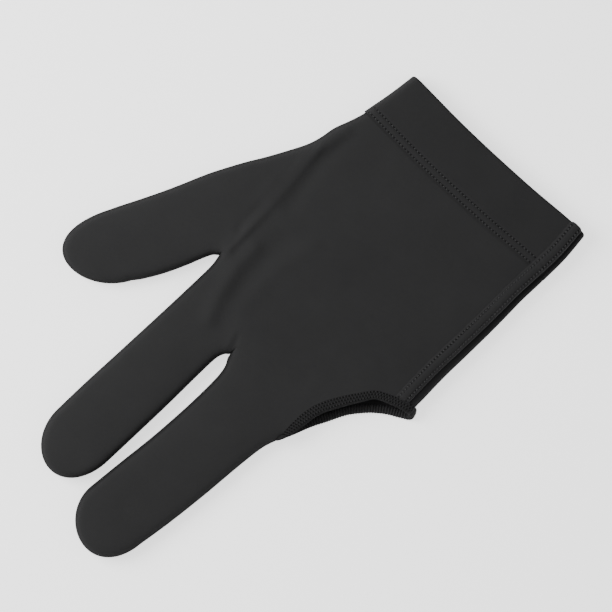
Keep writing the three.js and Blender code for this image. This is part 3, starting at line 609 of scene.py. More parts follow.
    def hem_relief(self, x, y):
        """The stitch rows pull two grooves into the hem, and the cloth between them stands up.

        Groove and ridge are bell curves of the distance from the hem's end.
        """
        away = self.hem_y(x) - y
        first, second = self.rows
        middle, half = (first + second) / 2, (first - second) / 2
        ridge = np.exp(-(((away - middle) / (0.7 * half)) ** 2))
        grooves = sum(np.exp(-(((away - row) / self.groove_reach) ** 2)) for row in self.rows)
        return self.hem_ridge * ridge - self.hem_groove * grooves

    def cloth_edge(self, curve, share):
        """The cloth's cut edge, which lies inside the edging: a share of its width off its middle."""
        place, width, across = curve.at(share)
        return place + across * (self.cut_edge * width)[..., None]

    def row_left(self, row, side):
        """Left end of a palm row: rows 0 to 1 follow the fold, rows 1 to 2 the opening.

        The upper panel starts a lap inside the fold, where the lower one's strip ends.
        """
        top = side == "top"
        inset = self.sizes.lap if top else 0.0
        start = self.hem_y(self.fold_x(self.sizes.cuff_depth) + inset) + self.joint
        low_row = np.minimum(row, 1)
        y = mix(start, FOLD_END * self.length, low_row)
        low = np.stack([self.fold_x(y) + inset, y - (0.5 * MM * low_row if top else 0)], -1)
        curve = self.upper_rim if top else self.lower_rim
        first = self.first_rim_share if top else 0.0
        high = self.cloth_edge(curve, mix(first, 1, np.maximum(row - 1, 0)))
        return np.where((row <= 1)[..., None], low, high)

    def row_right(self, row):
        """Right end of a palm row, on the seam between the wrist and the thumb."""
        start = self.hem_y(self.thumb_x(self.sizes.cuff_depth)) + self.joint
        y = mix(start, self.last_root[1], self.climb(row))
        return np.stack([self.thumb_x(y), y], -1)

    def climb(self, row):
        """Share of the way from the hem to the finger roots that a row has climbed."""
        return np.where(row <= 1, row * FOLD_SPAN, mix(FOLD_SPAN, 1, row - 1))

    def palm(self, row, share, name, side):
        """Plan point of the palm: rows span its two ends, and are pulled onto the finger roots."""
        t = self.climb(row)
        bottom, root = BOTTOM_SHARE[name], ROOT_SHARE[name]
        bottom_share, root_share = mix(*bottom, share), mix(*root, share)
        across = mix(bottom_share, root_share, smooth(t))
        place = mix_points(self.row_left(row, side), self.row_right(row), across)
        chord = mix_points(self.first_root, self.last_root, root_share)
        pull = (mix_points(*self.roots[name], share) - chord) * (t * t)[..., None]
        zero = 0 * row
        hem = mix_points(self.row_left(zero, side), self.row_right(zero), bottom_share)
        sag = (self.hem_y(hem[..., 0]) + self.joint - hem[..., 1]) * (1 - t) ** 2
        return place + pull + np.stack([0 * sag, sag], -1)


class Surface:
    """A mesh under construction: named grids of vertices that share their edges."""

    def __init__(self):
        self.plan = np.zeros((0, 2))
        self.closed = np.zeros(0, bool)
        self.faces = []

    def add(self, plan, closed):
        """Adds a grid of plan points and returns its vertex numbers."""
        first = len(self.plan)
        self.plan = np.vstack([self.plan, plan.reshape(-1, 2)])
        self.closed = np.concatenate([self.closed, np.broadcast_to(closed, plan.shape[:2]).ravel()])
        return first + np.arange(plan.shape[0] * plan.shape[1]).reshape(plan.shape[:2])

    def weave(self, numbers):
        """Joins a grid of vertex numbers into quads."""
        self.faces.append(quads_of(numbers))


def quads_of(numbers):
    """The quads of a grid of vertex numbers, turning left from rows to columns."""
    return np.stack([numbers[:-1, :-1], numbers[:-1, 1:], numbers[1:, 1:], numbers[1:, :-1]],
                    -1).reshape(-1, 4)


def palm_and_fingers(pattern, side):
    """One panel: the palm's grid, with each finger's rows and rounded tip standing on its last row.

    The fingers share the points of that row, the line of roots. Closed points lie on a seam or on
    the fold. Returns the surface, the palm's vertex numbers and how far up its rows lie.
    """
    surface, columns = Surface(), eased(MESH["columns"])
    up_fold = np.linspace(0, 1, MESH["fold"])[1:]
    up_opening = 1 + np.linspace(0, 0.99, MESH["opening"])[1:]
    rows = np.concatenate([[0, 0.002], up_fold, up_opening])
    shares = {name: columns if k == 0 else columns[1:] for k, name in enumerate(FINGERS)}
    plan = np.concatenate([pattern.palm(*np.meshgrid(rows, share, indexing="ij"), name, side)
                           for name, share in shares.items()], 1)
    closed = np.zeros(plan.shape[:2], bool)
    closed[:, -1] = True
    if side == "under":
        closed[rows <= 1, 0] = True
    palm = surface.add(plan, closed)
    roots = np.concatenate([mix_points(*pattern.roots[name], share)
                            for name, share in shares.items()])
    across = len(columns) - 1
    between_fingers = np.arange(len(roots)) % across == 0
    roots = surface.add(roots[None], between_fingers[None])
    palm = np.vstack([palm, roots])
    surface.weave(palm)
    up_finger = eased(MESH["finger"])[1:]
    up_tip = 1 - (1 - np.linspace(0, 1, MESH["tip"])[1:]) ** 1.6
    on_side = (columns == 0) | (columns == 1)
    for k, finger in enumerate(pattern.fingers.values()):
        body = surface.add(finger.body(*np.meshgrid(up_finger, columns, indexing="ij")),
                           on_side[None])
        tip = surface.add(finger.end(*np.meshgrid(up_tip, columns, indexing="ij")),
                          on_side[None] | (up_tip == 1)[:, None])
        surface.weave(np.vstack([roots[:, k * across:(k + 1) * across + 1], body, tip]))
    return surface, palm, rows


def in_frame(points):
    """Plan points with heights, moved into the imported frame."""
    return points + np.array([*PLAN_ORIGIN, 0.0])


def make_piece(name, points, faces, material, values=None):
    """A smooth-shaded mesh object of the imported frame, with one float attribute per value."""
    mesh = bpy.data.meshes.new(name)
    mesh.from_pydata(in_frame(points), [], faces)
    for key, value in (values or {}).items():
        layer = mesh.attributes.new(key, "FLOAT", "POINT")
        layer.data.foreach_set("value", np.asarray(value, np.float32))
    mesh.polygons.foreach_set("use_smooth", np.ones(len(mesh.polygons), bool))
    mesh.materials.append(material)
    mesh.update()
    piece = bpy.data.objects.new(name, mesh)
    bpy.context.scene.collection.objects.link(piece)
    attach(piece, ROOT)
    return piece


def solidify(piece, thickness):
    """Gives a sheet its wall, inward from its outer face."""
    wall = piece.modifiers.new("wall", "SOLIDIFY")
    wall.thickness = thickness
    wall.offset = -1
    wall.use_rim = True


class Wire:
    """A shader socket. An arithmetic expression on it adds the Math nodes that work it out."""

    def __init__(self, shader, socket):
        self.shader = shader
        self.socket = socket

    def math(self, operation, *values):
        return self.shader.node("ShaderNodeMath", {"operation": operation}, dict(enumerate(values)))

    def __add__(self, other):
        return self.math("ADD", self, other)

    def __sub__(self, other):
        return self.math("SUBTRACT", self, other)

    def __rsub__(self, other):
        return self.math("SUBTRACT", other, self)

    def __mul__(self, other):
        return self.math("MULTIPLY", self, other)

    def __truediv__(self, other):
        return self.math("DIVIDE", self, other)

    def __rtruediv__(self, other):
        return self.math("DIVIDE", other, self)

    def __pow__(self, other):
        return self.math("POWER", self, other)

    __radd__ = __add__
    __rmul__ = __mul__

    def sin(self):
        return self.math("SINE", self)

    def fraction(self):
        return self.math("FRACT", self)

    def abs(self):
        return self.math("ABSOLUTE", self)

    def step(self, low, high):
        """0 below low, 1 above high, and smooth between."""
        return self.shader.node(
            "ShaderNodeMapRange", {"interpolation_type": "SMOOTHSTEP"},
            {"Value": self, "From Min": low, "From Max": high, "To Min": 0.0, "To Max": 1.0})


class Shader:
    """A material and the nodes that its expressions add."""

    def __init__(self, name):
        self.material = bpy.data.materials.new(name)
        self.material.use_nodes = True
        self.tree = self.material.node_tree
        self.tree.nodes.clear()

    def node(self, kind, settings=None, inputs=None, output=0):
        """One node: its settings first, then a value or a link for each socket named."""
        made = self.tree.nodes.new(kind)
        for key, value in (settings or {}).items():
            setattr(made, key, value)
        for key, value in (inputs or {}).items():
            if isinstance(value, Wire):
                self.tree.links.new(value.socket, made.inputs[key])
            else:
                made.inputs[key].default_value = value
        return Wire(self, made.outputs[output]) if made.outputs else None

    def place(self):
        """Object coordinates in millimetres, as three wires."""
        where = self.node("ShaderNodeTexCoord", output="Object")
        parts = [self.node("ShaderNodeSeparateXYZ", None, {0: where}, axis) for axis in range(3)]
        return where, [part * (1 / MM) for part in parts]

    def noise(self, where, scale, detail=2.0):
        """Fractal noise whose grain is 1/scale metres."""
        return self.node("ShaderNodeTexNoise", None,
                         {"Vector": where, "Scale": scale, "Detail": detail, "Roughness": 0.55})

    def value(self, name):
        """A float attribute of the mesh."""
        return self.node("ShaderNodeAttribute", {"attribute_name": name}, output="Fac")

    def shade(self, colour, amount):
        """The colour times an amount."""
        return self.node("ShaderNodeVectorMath", {"operation": "SCALE"},
                         {0: colour, "Scale": amount})

    def finish(self, colour, roughness, height, relief, sheen):
        """Links a cloth surface: colour and roughness vary, relief is the bump's full height."""
        bump = self.node("ShaderNodeBump", None,
                         {"Strength": 1.0, "Distance": relief, "Height": height})
        surface = self.node("ShaderNodeBsdfPrincipled", None, {
            "Base Color": colour, "Roughness": roughness, "Normal": bump,
            "Specular IOR Level": 0.10, "Sheen Weight": sheen, "Sheen Roughness": 0.55,
            "Sheen Tint": (0.75, 0.75, 0.78, 1.0)})
        self.node("ShaderNodeOutputMaterial", None, {"Surface": surface})
        return self.material


def knit(x, y, z):
    """Height of a fine warp knit: ribs side by side, each a chain of slanting loops."""
    wale = ((x + z) * (TURN / WALE)).sin()
    course = ((y + z) * (TURN / COURSE) + wale * 1.2).sin()
    return wale * 0.3 + course * 0.2 + 0.5


def needle_holes(shader, rows, pitch, stagger=0.0):
    """Dark dots a pitch apart on each row, and the pull of the thread along the rows.

    rows names the attributes that hold the distance from a row; the run along it is in "run".
    stagger is the share of a pitch by which each row leads the one before. A dot is a little longer
    across the row than along it.
    """
    run = shader.value("run") / (pitch / MM)
    holes, pulls = [], []
    for number, row in enumerate(rows):
        cycle = run + number * stagger
        along = ((cycle + 0.5).fraction() - 0.5) * (pitch / MM) * 1.2
        tug = (cycle * TURN).sin() * 0.5 + 0.5
        away = shader.value(row)
        radius = (along * along + away * away * 0.7) ** 0.5
        holes.append(1 - radius.step(*HOLE))
        pulls.append((1 - away.abs().step(*PULL)) * tug)
    return sum(holes), sum(pulls)


def cloth_material(name, colour, rows=(), pitch=MM):
    """Matte stretch knit: loops in relief, soft mottling, and shade in the seam's crease."""
    shader = Shader(name)
    where, (x, y, z) = shader.place()
    broad = shader.noise(where, 55.0, 3.0)
    fine = shader.noise(where, 900.0)
    loops = knit(x, y, z)
    crease = shader.value("seam_distance").step(0.1, 1.5)
    amount = (0.80 + broad * 0.24 + fine * 0.16) * (0.94 + loops * 0.12) * (0.22 + crease * 0.78)
    # Painted light and shade that each piece carries in its mesh, such as the shade under the fold
    # and on the strip over it.
    amount = amount * shader.value("painted_light")
    height = loops * 0.3 + fine * 0.3
    if rows:
        holes, pull = needle_holes(shader, rows, pitch)
        amount = amount * (1 - holes * 0.74) * (1 + pull * 0.10)
        height = height + pull * 0.8 - holes * 1.2
    base = shader.shade(tuple(colour), amount)
    return shader.finish(base, 0.80 + fine * 0.16, height, 0.11 * MM, 0.02)


def edging_material(name, colour, rows, pitch):
    """Dense overlocked edge: fine thread ribs lie across it, with needle holes on its back."""
    shader = Shader(name)
    where, _ = shader.place()
    fine = shader.noise(where, 1400.0)
    rib = (shader.value("run") * (TURN / RIB)).sin() * 0.5 + 0.5
    holes, pull = needle_holes(shader, rows, pitch, EDGE_STAGGER)
    amount = (0.80 + rib * 0.2) * (0.8 + fine * 0.4) * (1 + pull * 0.35) * (1 - holes * 0.85)
    # Painted shade from the mesh: darker where the edging faces sideways or down.
    amount = amount * shader.value("painted_light")
    base = shader.shade(tuple(colour), amount)
    height = rib * 0.3 + fine * 0.3 + pull * 0.6 - holes
    return shader.finish(base, 0.78 + fine * 0.14, height, 0.14 * MM, 0.02)


def thread_material(name, colour):
    """Spun sewing thread: fine twist along it and a faint sheen."""
    shader = Shader(name)
    where, (x, y, z) = shader.place()
    fine = shader.noise(where, 2200.0)
    twist = ((x + y * 0.7 + z) * (TURN / TWIST)).sin() * 0.5 + 0.5
    base = shader.shade(tuple(colour), (0.72 + twist * 0.3) * (0.8 + fine * 0.4))
    return shader.finish(base, 0.62 + fine * 0.2, twist, 0.04 * MM, 0.04)


def floor_material(colour):
    """Plain pale matte board with a faint grain."""
    shader = Shader("pale_floor")
    where, _ = shader.place()
    grain = shader.noise(where, 40.0)
    base = shader.shade(tuple(colour), 0.985 + grain * 0.02)
    surface = shader.node("ShaderNodeBsdfPrincipled", None, {
        "Base Color": base, "Roughness": 0.9, "Specular IOR Level": 0.1,
        "Emission Color": (1.0, 1.0, 1.0, 1.0), "Emission Strength": 1.5})
    shader.node("ShaderNodeOutputMaterial", None, {"Surface": surface})
    return shader.material


def tube_grid(points, closed_rows):
    """Quads of a grid whose columns close on themselves, and its rows too if asked."""
    rows, columns = points.shape[:2]
    numbers = np.arange(rows * columns).reshape(rows, columns)
    numbers = np.hstack([numbers, numbers[:, :1]])
    if closed_rows:
        numbers = np.vstack([numbers, numbers[:1]])
    return quads_of(numbers)


def round_angles(count):
    """Angles evenly round a circle, the first at 0."""
    return np.linspace(0, TURN, count, endpoint=False)


def interpolated(values, run, at):
    """Values at the stations of a run, one row or one number each, read at other places of it."""
    if values.ndim == 1:
        return np.interp(at, run, values)
    return np.stack([np.interp(at, run, column) for column in values.T], -1)


def run_along(plan):
    """Length walked along a line of plan points, from 0 at the first."""
    return np.concatenate([[0], np.cumsum(np.linalg.norm(np.diff(plan, axis=0), axis=1))])


def squarish(share):
    """Sign of the share times |share|^0.7, for a cosine or sine round a squared-off oval."""
    return np.sign(share) * np.abs(share) ** SQUARENESS


def edging_section(stations, angle):
    """Points of the edging's section at each station, a row each, and the way each point faces.

    The section is squarish(cos a) of half the width across by squarish(sin a) of half the
    thickness out of the cloth.
    """
    across, out = squarish(np.cos(angle)), squarish(np.sin(angle))
    half_width, half = stations["width"][:, None] / 2, stations["half"][:, None]
    side, outward = stations["side"][:, None], stations["out"][:, None]
    points = (stations["place"][:, None] + side * (across * half_width)[..., None]
              + outward * (out * half)[..., None])
    return points, unit(side * across[:, None] + outward * out[:, None])


def ribbon_arm(curve, height_of, steps, half):
    """Stations of one arm of the edging, which leaves the cloth, widens and thins at its end."""
    share = np.linspace(0, 1, steps + 1)
    plan, width, side = curve.at(share)
    leaving = smooth(np.clip((share - ARM_END["from"]) / (1 - ARM_END["from"]), 0, 1))
    plan = plan - side * (leaving * ARM_END["away"])[:, None]
    width = width + leaving * ARM_END["wider"]
    place = np.column_stack([plan, height_of(plan)])
    heading = unit(np.gradient(place, axis=0))
    side = np.column_stack([side, 0 * width])
    side = unit(side - heading * (side * heading).sum(1, keepdims=True))
    return {"place": place, "heading": heading, "side": side, "out": np.cross(side, heading),
            "width": width, "half": half * (1 - ARM_END["thinner"] * leaving)}


def ribbon_turn(start, end, reach, steps, thinning, inward):
    """Stations between two arms: a Hermite arc, its frame turned half round about the side.

    thinning is the share of the width and thickness that is lost at the middle of the turn, and
    inward is how far the middle moves toward the cloth.
    """
    u = np.linspace(0, 1, steps + 1)[1:-1, None]
    place = ((1 + 2 * u) * (1 - u) ** 2 * start["place"] + reach * u * (1 - u) ** 2
             * start["heading"] + u * u * (3 - 2 * u) * end["place"]
             + reach * u * u * (u - 1) * end["heading"])
    side = unit(mix(start["side"], end["side"], u))
    half_turn = np.pi * u
    full = 1 - thinning * np.sin(half_turn[:, 0])
    heading = np.cos(half_turn) * start["heading"] - np.sin(half_turn) * start["out"]
    heading = unit(heading - side * (heading * side).sum(1, keepdims=True))
    place = place + side * inward * np.sin(half_turn)
    return {"place": place, "heading": heading, "side": side, "out": np.cross(side, heading),
            "width": mix(start["width"], end["width"], u[:, 0]) * full,
            "half": mix(start["half"], end["half"], u[:, 0]) * full}


def edging_stations(pattern):
    """The whole ring of the edging: upper arm, root turn, lower arm, corner turn.

    Returns the stations, each fact of theirs an array, and where each of the four ends.
    """
    half = pattern.sizes.edging_thickness / 2

    def on_back(plan):
        """The upper arm holds the back's cloth, and stands a little proud of it."""
        proud, least = 0.3 * MM, 0.5 * MM
        x, y = plan.T
        d = np.minimum(pattern.edge_distance(x, y) * 1.6, x - pattern.fold_x(y))
        return pattern.top_height(x, y, np.maximum(d, least)) - half + proud

    def on_table(plan):
        """The lower arm lies flat."""
        return half + 0 * plan[:, 0]

    upper = ribbon_arm(pattern.upper_rim, on_back, ARM_STEPS, half)
    lower = ribbon_arm(pattern.lower_rim, on_table, ARM_STEPS, half)
    lower = {key: value[::-1] for key, value in lower.items()}
    lower["heading"], lower["out"] = -lower["heading"], -lower["out"]

    def station(arm, k):
        """One station of an arm, with all its facts."""
        return {key: value[k] for key, value in arm.items()}

    root = ribbon_turn(station(upper, -1), station(lower, 0), **ROOT_TURN)
    corner = ribbon_turn(station(lower, -1), station(upper, 0), **CORNER_TURN)
    arms = [upper, root, lower, corner]
    ring = {key: np.concatenate([arm[key] for arm in arms]) for key in upper}
    ends = np.cumsum([len(arm["width"]) for arm in arms])
    steps = np.linalg.norm(np.diff(ring["place"], axis=0, append=ring["place"][:1]), axis=1)
    ring["run"] = np.concatenate([[0], np.cumsum(steps)[:-1]])
    return ring, ends


def capsule():
    """One stitch of unit half length and half width: rings between two poles.

    The radius at s along it is the square root of 1 - |s|^3.
    """
    s = np.array([-0.82, -0.45, 0.0, 0.45, 0.82])
    radius = (1 - np.abs(s) ** 3) ** 0.5
    angle = round_angles(6)
    rings = np.stack([s[:, None] + 0 * angle, radius[:, None] * np.cos(angle),
                      radius[:, None] * np.sin(angle)], -1)
    points = np.vstack([rings.reshape(-1, 3), [[-1, 0, 0], [1, 0, 0]]])
    first_pole, last_pole = len(points) - 2, len(points) - 1
    numbers = np.arange(first_pole).reshape(rings.shape[:2])
    numbers = np.hstack([numbers, numbers[:, :1]])
    body = quads_of(numbers)[:, ::-1].tolist()
    first = [[first_pole, a, b] for a, b in zip(numbers[0, :-1], numbers[0, 1:])]
    last = [[last_pole, b, a] for a, b in zip(numbers[-1, :-1], numbers[-1, 1:])]
    return points, body + first + last


def stitches_on(path, up, run, pitch, share, half_width, lift):
    """Capsules along a path between the needle holes, which lie at whole pitches of its run."""
    middles = (np.arange(np.ceil(run[0] / pitch), np.floor(run[-1] / pitch)) + 0.5) * pitch
    half = pitch * share / 2
    near, far = interpolated(path, run, middles - half), interpolated(path, run, middles + half)
    along = (far - near) / 2
    up = unit(interpolated(up, run, middles))
    place = (near + far) / 2 + up * lift
    side = unit(np.cross(up, along))
    shape, faces = capsule()
    points = (place[:, None] + shape[:, :1] * along[:, None]
              + shape[:, 1:2] * side[:, None] * half_width
              + shape[:, 2:] * up[:, None] * half_width * 0.8)
    return points.reshape(-1, 3), repeated(faces, len(shape), len(place))


def repeated(faces, size, count):
    """The faces of count copies of a shape that has size vertices."""
    return [[v + k * size for v in face] for k in range(count) for face in faces]


def gathered(parts):
    """Several (points, faces) joined into one."""
    points, faces, first = [], [], 0
    for part_points, part_faces in parts:
        points.append(part_points)
        faces += [[v + first for v in face] for face in part_faces]
        first += len(part_points)
    return np.vstack(points), faces


def pattern_of(context):
    """The pattern for the sizes that are set in the scene."""
    return Pattern(context.scene.glove_sizes, context.scene.glove_stitching)


def tucked(pattern, plan, z, row):
    """Draws a panel's end row in, so that it starts inside the hem rather than at its edge.

    The row is made narrower, moved under the hem and brought nearer the seam's height.
    """
    narrower, under_hem, flatter = 0.988, 0.8 * MM, 0.15
    plan, z = plan.copy(), z.copy()
    plan[row] = plan[row] * (narrower, 1) - (0, under_hem)
    z[row] = mix(z[row], pattern.sizes.seam_height, flatter)
    return plan, z


class GLOVE_OT_upper_panel(bpy.types.Operator):
    """Makes the back of the glove: palm, middle finger, index finger and thumb in one cloth"""

    bl_idname = "glove.upper_panel"
    bl_label = "Upper panel"

    def execute(self, context):
        pattern = pattern_of(context)
        surface, palm, _ = palm_and_fingers(pattern, "top")
        x, y = surface.plan.T
        d = np.where(surface.closed, 0, pattern.edge_distance(x, y))
        plan, z = tucked(pattern, surface.plan, pattern.top_height(x, y, d), palm[0])
        material = cloth_material("stretch_knit", context.scene.glove_colours.cloth)
        piece = make_piece("back_panel", np.column_stack([plan, z]),
                           np.vstack(surface.faces), material,
                           {"seam_distance": d / MM, "painted_light": 1 + 0 * d})
        solidify(piece, pattern.sizes.ply)
        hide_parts(*(f"upper_{part}" for part in ("panel", *FINGERS)))
        return {"FINISHED"}


class GLOVE_OT_lower_panel(bpy.types.Operator):
    """Makes the palm side of the glove and the strip that wraps over the fold onto the back"""

    bl_idname = "glove.lower_panel"
    bl_label = "Lower panel"

    # Painted shade: how far the seam stands open before the painted crease shade begins, how far the
    # painted shade under the fold reaches, how dark that shade is, and the strip's painted shade at
    # the wrist and, lighter, at the opening.
    open_seam = 0.4 * MM
    fold_shade = 3 * MM
    fold_tone = 0.5
    strip_shades = (0.38, 1.15)

    def execute(self, context):
        pattern = pattern_of(context)
        surface, palm, rows = palm_and_fingers(pattern, "under")
        x, y = surface.plan.T
        d = np.where(surface.closed, 0, pattern.edge_distance(x, y))
        z = pattern.under_height(d)
        climb = rows[rows <= 1]
        edge = palm[:len(climb), 0]
        z[edge] = pattern.sizes.seam_height
        strip, strip_z, strip_d = self.strip_over_fold(pattern, surface.plan, edge, climb)
        numbers = len(x) + np.arange(strip_z.size).reshape(strip_z.shape)
        strip_faces = quads_of(np.hstack([numbers[:, ::-1], edge[:, None]]))
        plan = np.vstack([surface.plan, strip.reshape(-1, 2)])
        plan, z = tucked(pattern, plan, np.concatenate([z, strip_z.ravel()]),
                         np.concatenate([palm[0], numbers[0]]))
        distance = np.concatenate([d, strip_d.ravel()]) + self.open_seam
        # Painted shade on the palm cloth near the fold, and on the strip over the fold, darkest at
        # the wrist.
        by_fold = distance_to(pattern.fold_line, x, y)
        painted_light = mix(self.fold_tone, 1, smooth(np.clip(by_fold / self.fold_shade, 0, 1)))
        strip_tone = mix(*self.strip_shades, climb)[:, None] + 0 * strip_z
        material = cloth_material("stretch_knit_shaded", context.scene.glove_colours.shaded_palm_cloth)
        piece = make_piece("palm_panel", np.column_stack([plan, z]),
                           np.vstack([*surface.faces, strip_faces])[:, ::-1], material,
                           {"seam_distance": distance / MM,
                            "painted_light": np.concatenate([painted_light, strip_tone.ravel()])})
        solidify(piece, pattern.sizes.ply)
        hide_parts(*(f"lower_{part}" for part in ("panel", *FINGERS)))
        return {"FINISHED"}

    @staticmethod
    def strip_over_fold(pattern, plan, edge, climb):
        """Grid of the strip that laps over the fold: a row for each point of the fold.

        Its columns lie ever further apart, its low end follows the hem, and its high end is drawn
        down again once the fold has run on under the edging, for which the plan is changed.
        Returns the strip's plan points, heights and distances from the fold.
        """
        past_corner, drawn_down, short_of_lap = 3.0 * MM, 0.6 * MM, 0.3 * MM
        tuck = smooth(np.clip((climb - 0.94) / 0.06, 0, 1))
        plan[edge, 1] += past_corner * tuck
        start_x, start_y = plan[edge, :1], plan[edge, 1:]
        share = np.linspace(0, 1, 12)[1:] ** 1.7
        d = share * (pattern.sizes.lap - short_of_lap)
        x = start_x + d
        shift = mix(pattern.hem_y(x) - pattern.hem_y(start_x), 0, climb[:, None])
        shift = shift - drawn_down * tuck[:, None] * np.minimum(1, share * 5)
        z = pattern.top_height(x, start_y + 0 * x, d + 0 * x)
        return np.stack([x, start_y + shift], -1), z, d + 0 * x


class GLOVE_OT_wrist_cuff(bpy.types.Operator):
    """Makes the doubled hem round the wrist, folded over at its rim"""

    bl_idname = "glove.wrist_cuff"
    bl_label = "Wrist cuff"

    # Painted shade: shares of the cloth's colour kept on the strip outside the side band, which lies
    # in deep shade, and on the rest of the back; and on the palm side, which gets the palm cloth's
    # painted shade.
    back_shades = (0.26, 0.95)
    palm_shade = 0.6

    def execute(self, context):
        pattern = pattern_of(context)
        sizes, stitching = pattern.sizes, context.scene.glove_stitching
        # Painted shade: the width over which the strip's shade gives way to the lit back, and the
        # offsets added to the distances from the cuff's sides and rim, which set where the painted
        # crease shade falls.
        shade_width, open_side, open_rim = 0.6 * MM, 0.35 * MM, 0.45 * MM
        share = np.concatenate([eased(90)[:-1], eased(90)[:0:-1]])
        on_top = np.arange(len(share)) < len(share) // 2
        along, depth = self.layers(sizes)
        left = pattern.cuff_x("fold", along)
        width = pattern.cuff_x("thumb", along) - left
        x = left + share * width
        d = np.minimum(share, 1 - share) * width
        hem = pattern.hem_y(x)
        y = hem - (1 - along) * sizes.cuff_depth - pattern.joint
        z = np.where(on_top, pattern.cuff_top(x, y, d), pattern.cuff_under(x, y, d))
        out_x = np.roll(z, 1, 1) - np.roll(z, -1, 1)
        out_z = np.roll(x, -1, 1) - np.roll(x, 1, 1)
        out = unit(np.stack([out_x, 0 * x, out_z], -1))
        points = np.stack([x, y, z], -1) - out * depth[..., None]
        lining = np.where(depth > 0.1 * MM, FAR, 0)
        strip = read_table(BAND_RUN, "along", "inset", 0.2) * sizes.band_width
        lit = smooth(np.clip((x - left - strip) / shade_width + 0.5, 0, 1))
        # The crease's painted shade runs along the cuff's sides and along its folded rim.
        from_side, from_rim = d + open_side, along * sizes.cuff_depth + open_rim
        values = {"seam_distance": (np.minimum(from_side, from_rim) / MM).ravel(),
                  "run": pattern.hem_run(x).ravel() / MM,
                  "first_row": (hem - y - stitching.first_row + lining).ravel() / MM,
                  "second_row": (hem - y - stitching.second_row + lining).ravel() / MM,
                  "painted_light": np.where(on_top, mix(*self.back_shades, lit), self.palm_shade).ravel()}
        material = cloth_material("hem_knit", context.scene.glove_colours.cloth,
                                  ("first_row", "second_row"), stitching.pitch)
        piece = make_piece("wrist_hem", points.reshape(-1, 3), tube_grid(points, True), material,
                           values)
        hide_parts("wrist_cuff")
        return {"FINISHED"}

    @staticmethod
    def layers(sizes):
        """Rows from the hem's end down the outer face, half round the rim and back up inside.

        Returns each row's share of the cuff's depth and its depth below the outer face.
        """
        half = sizes.cuff_wall / 2
        half_share = half / sizes.cuff_depth
        steps = np.concatenate([[0, 0.003], np.linspace(0, 0.3, 16)[1:], np.linspace(0.3, 1, 14)[1:]])
        outer = 1 - steps * (1 - half_share)
        turn = np.linspace(0, np.pi, 9)[1:-1]
        along = np.concatenate([outer, (1 - np.sin(turn)) * half_share, outer[::-1]])
        depth = np.concatenate([0 * outer, (1 - np.cos(turn)) * half, 0 * outer + sizes.cuff_wall])
        return along[:, None], depth[:, None]


class GLOVE_OT_side_band(bpy.types.Operator):
    """Makes the flat seam along the fold, with a groove under each of its stitch rows"""

    bl_idname = "glove.side_band"
    bl_label = "Side seam band"

    def execute(self, context):
        pattern = pattern_of(context)
        across = eased(40)
        plan, base = band_surface(pattern, across, 240)
        sizes, stitching = pattern.sizes, context.scene.glove_stitching
        height = read_table(BAND_PROFILE, "across", "height", across) * sizes.band_thickness
        along = np.linspace(0, 1, len(plan))[:, None]
        at_wrist, at_opening, end_share = 1 / 200, 1 / 60, 0.25
        rise = np.clip(np.minimum(along / at_wrist, (1 - along) / at_opening), 0, 1) ** 0.5
        top = np.dstack([plan, base + height * mix(end_share, 1, rise)])
        under = np.dstack([plan, base])
        points = np.concatenate([top, under[:, ::-1]], 1)
        faces = tube_grid(points, False)
        ends = cap_faces(points.shape[0], len(across))
        shape = points.shape[:2]
        on_face = across * sizes.band_width
        away = np.concatenate([on_face, on_face[::-1] + FAR])
        values = {"seam_distance": 3.0, "painted_light": 1.0, "run": run_along(plan[:, 0])[:, None] / MM,
                  "first_row": (away - BAND_ROWS[0] * sizes.band_width) / MM,
                  "second_row": (away - BAND_ROWS[1] * sizes.band_width) / MM}
        values = {key: np.broadcast_to(value, shape).ravel() for key, value in values.items()}
        material = cloth_material("seam_knit", context.scene.glove_colours.band,
                                  ("first_row", "second_row"), stitching.band_pitch)
        piece = make_piece("side_seam", points.reshape(-1, 3), np.vstack([faces, ends]), material,
                           values)
        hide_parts("side_seam_band")
        return {"FINISHED"}


def cap_faces(rows, half):
    """End faces of a flat tube whose columns run over the top and back underneath."""
    first = np.arange(half)
    back = 2 * half - 1 - first
    near = np.stack([first[:-1], back[:-1], back[1:], first[1:]], 1)
    far = near[:, ::-1] + (rows - 1) * 2 * half
    return np.vstack([near, far])


def band_surface(pattern, across, steps):
    """Plan places of the side band and the height of the cloth that it lies on.

    Its end at the wrist is rounded: it bulges past the rim by 1 - p^4, with p from -1 to 1 across.
    """
    sizes = pattern.sizes
    along = np.linspace(0, 1, steps + 1)[:, None]
    inset = read_table(BAND_RUN, "along", "inset", along) * sizes.band_width
    offset = inset + across * sizes.band_width
    bulge, inside_rim, past_fold, slant = 0.9 * MM, 0.4 * MM, 1.9 * MM, 0.35
    start = (pattern.rim_y(pattern.cuff_x("fold", 0.0) + offset) + inside_rim
             - bulge * (1 - (2 * across - 1) ** 4))
    end = FOLD_END * pattern.length + past_fold + slant * across * sizes.band_width
    y = mix(start, end, along)
    cuff_share = np.clip((y - start) / sizes.cuff_depth, 0, 1)
    before_hem, handed_within = 3 * MM, 8 * MM
    past_cuff = y - start - sizes.cuff_depth + before_hem
    handover = smooth(np.clip(past_cuff / handed_within, 0, 1))
    x = mix(pattern.cuff_x("fold", cuff_share), pattern.fold_x(y), handover) + offset
    return np.dstack([x, y]), band_base(pattern, x, y) + pattern.joint


def band_base(pattern, x, y):
    """Height of the outer cloth by the fold: the cuff's, handed over to the panel's."""
    along = np.clip((y - pattern.rim_y(x)) / pattern.sizes.cuff_depth, 0, 1)
    cuff = pattern.cuff_top(x, y, np.maximum(0, x - pattern.cuff_x("fold", along)))
    panel = pattern.top_height(x, y, np.maximum(0, x - pattern.fold_x(y)))
    past_hem, handed_within = 0.6 * MM, 7 * MM
    share = np.clip((y - pattern.hem_y(x) - past_hem) / handed_within, 0, 1)
    return mix(np.maximum(cuff, panel), panel, smooth(share))


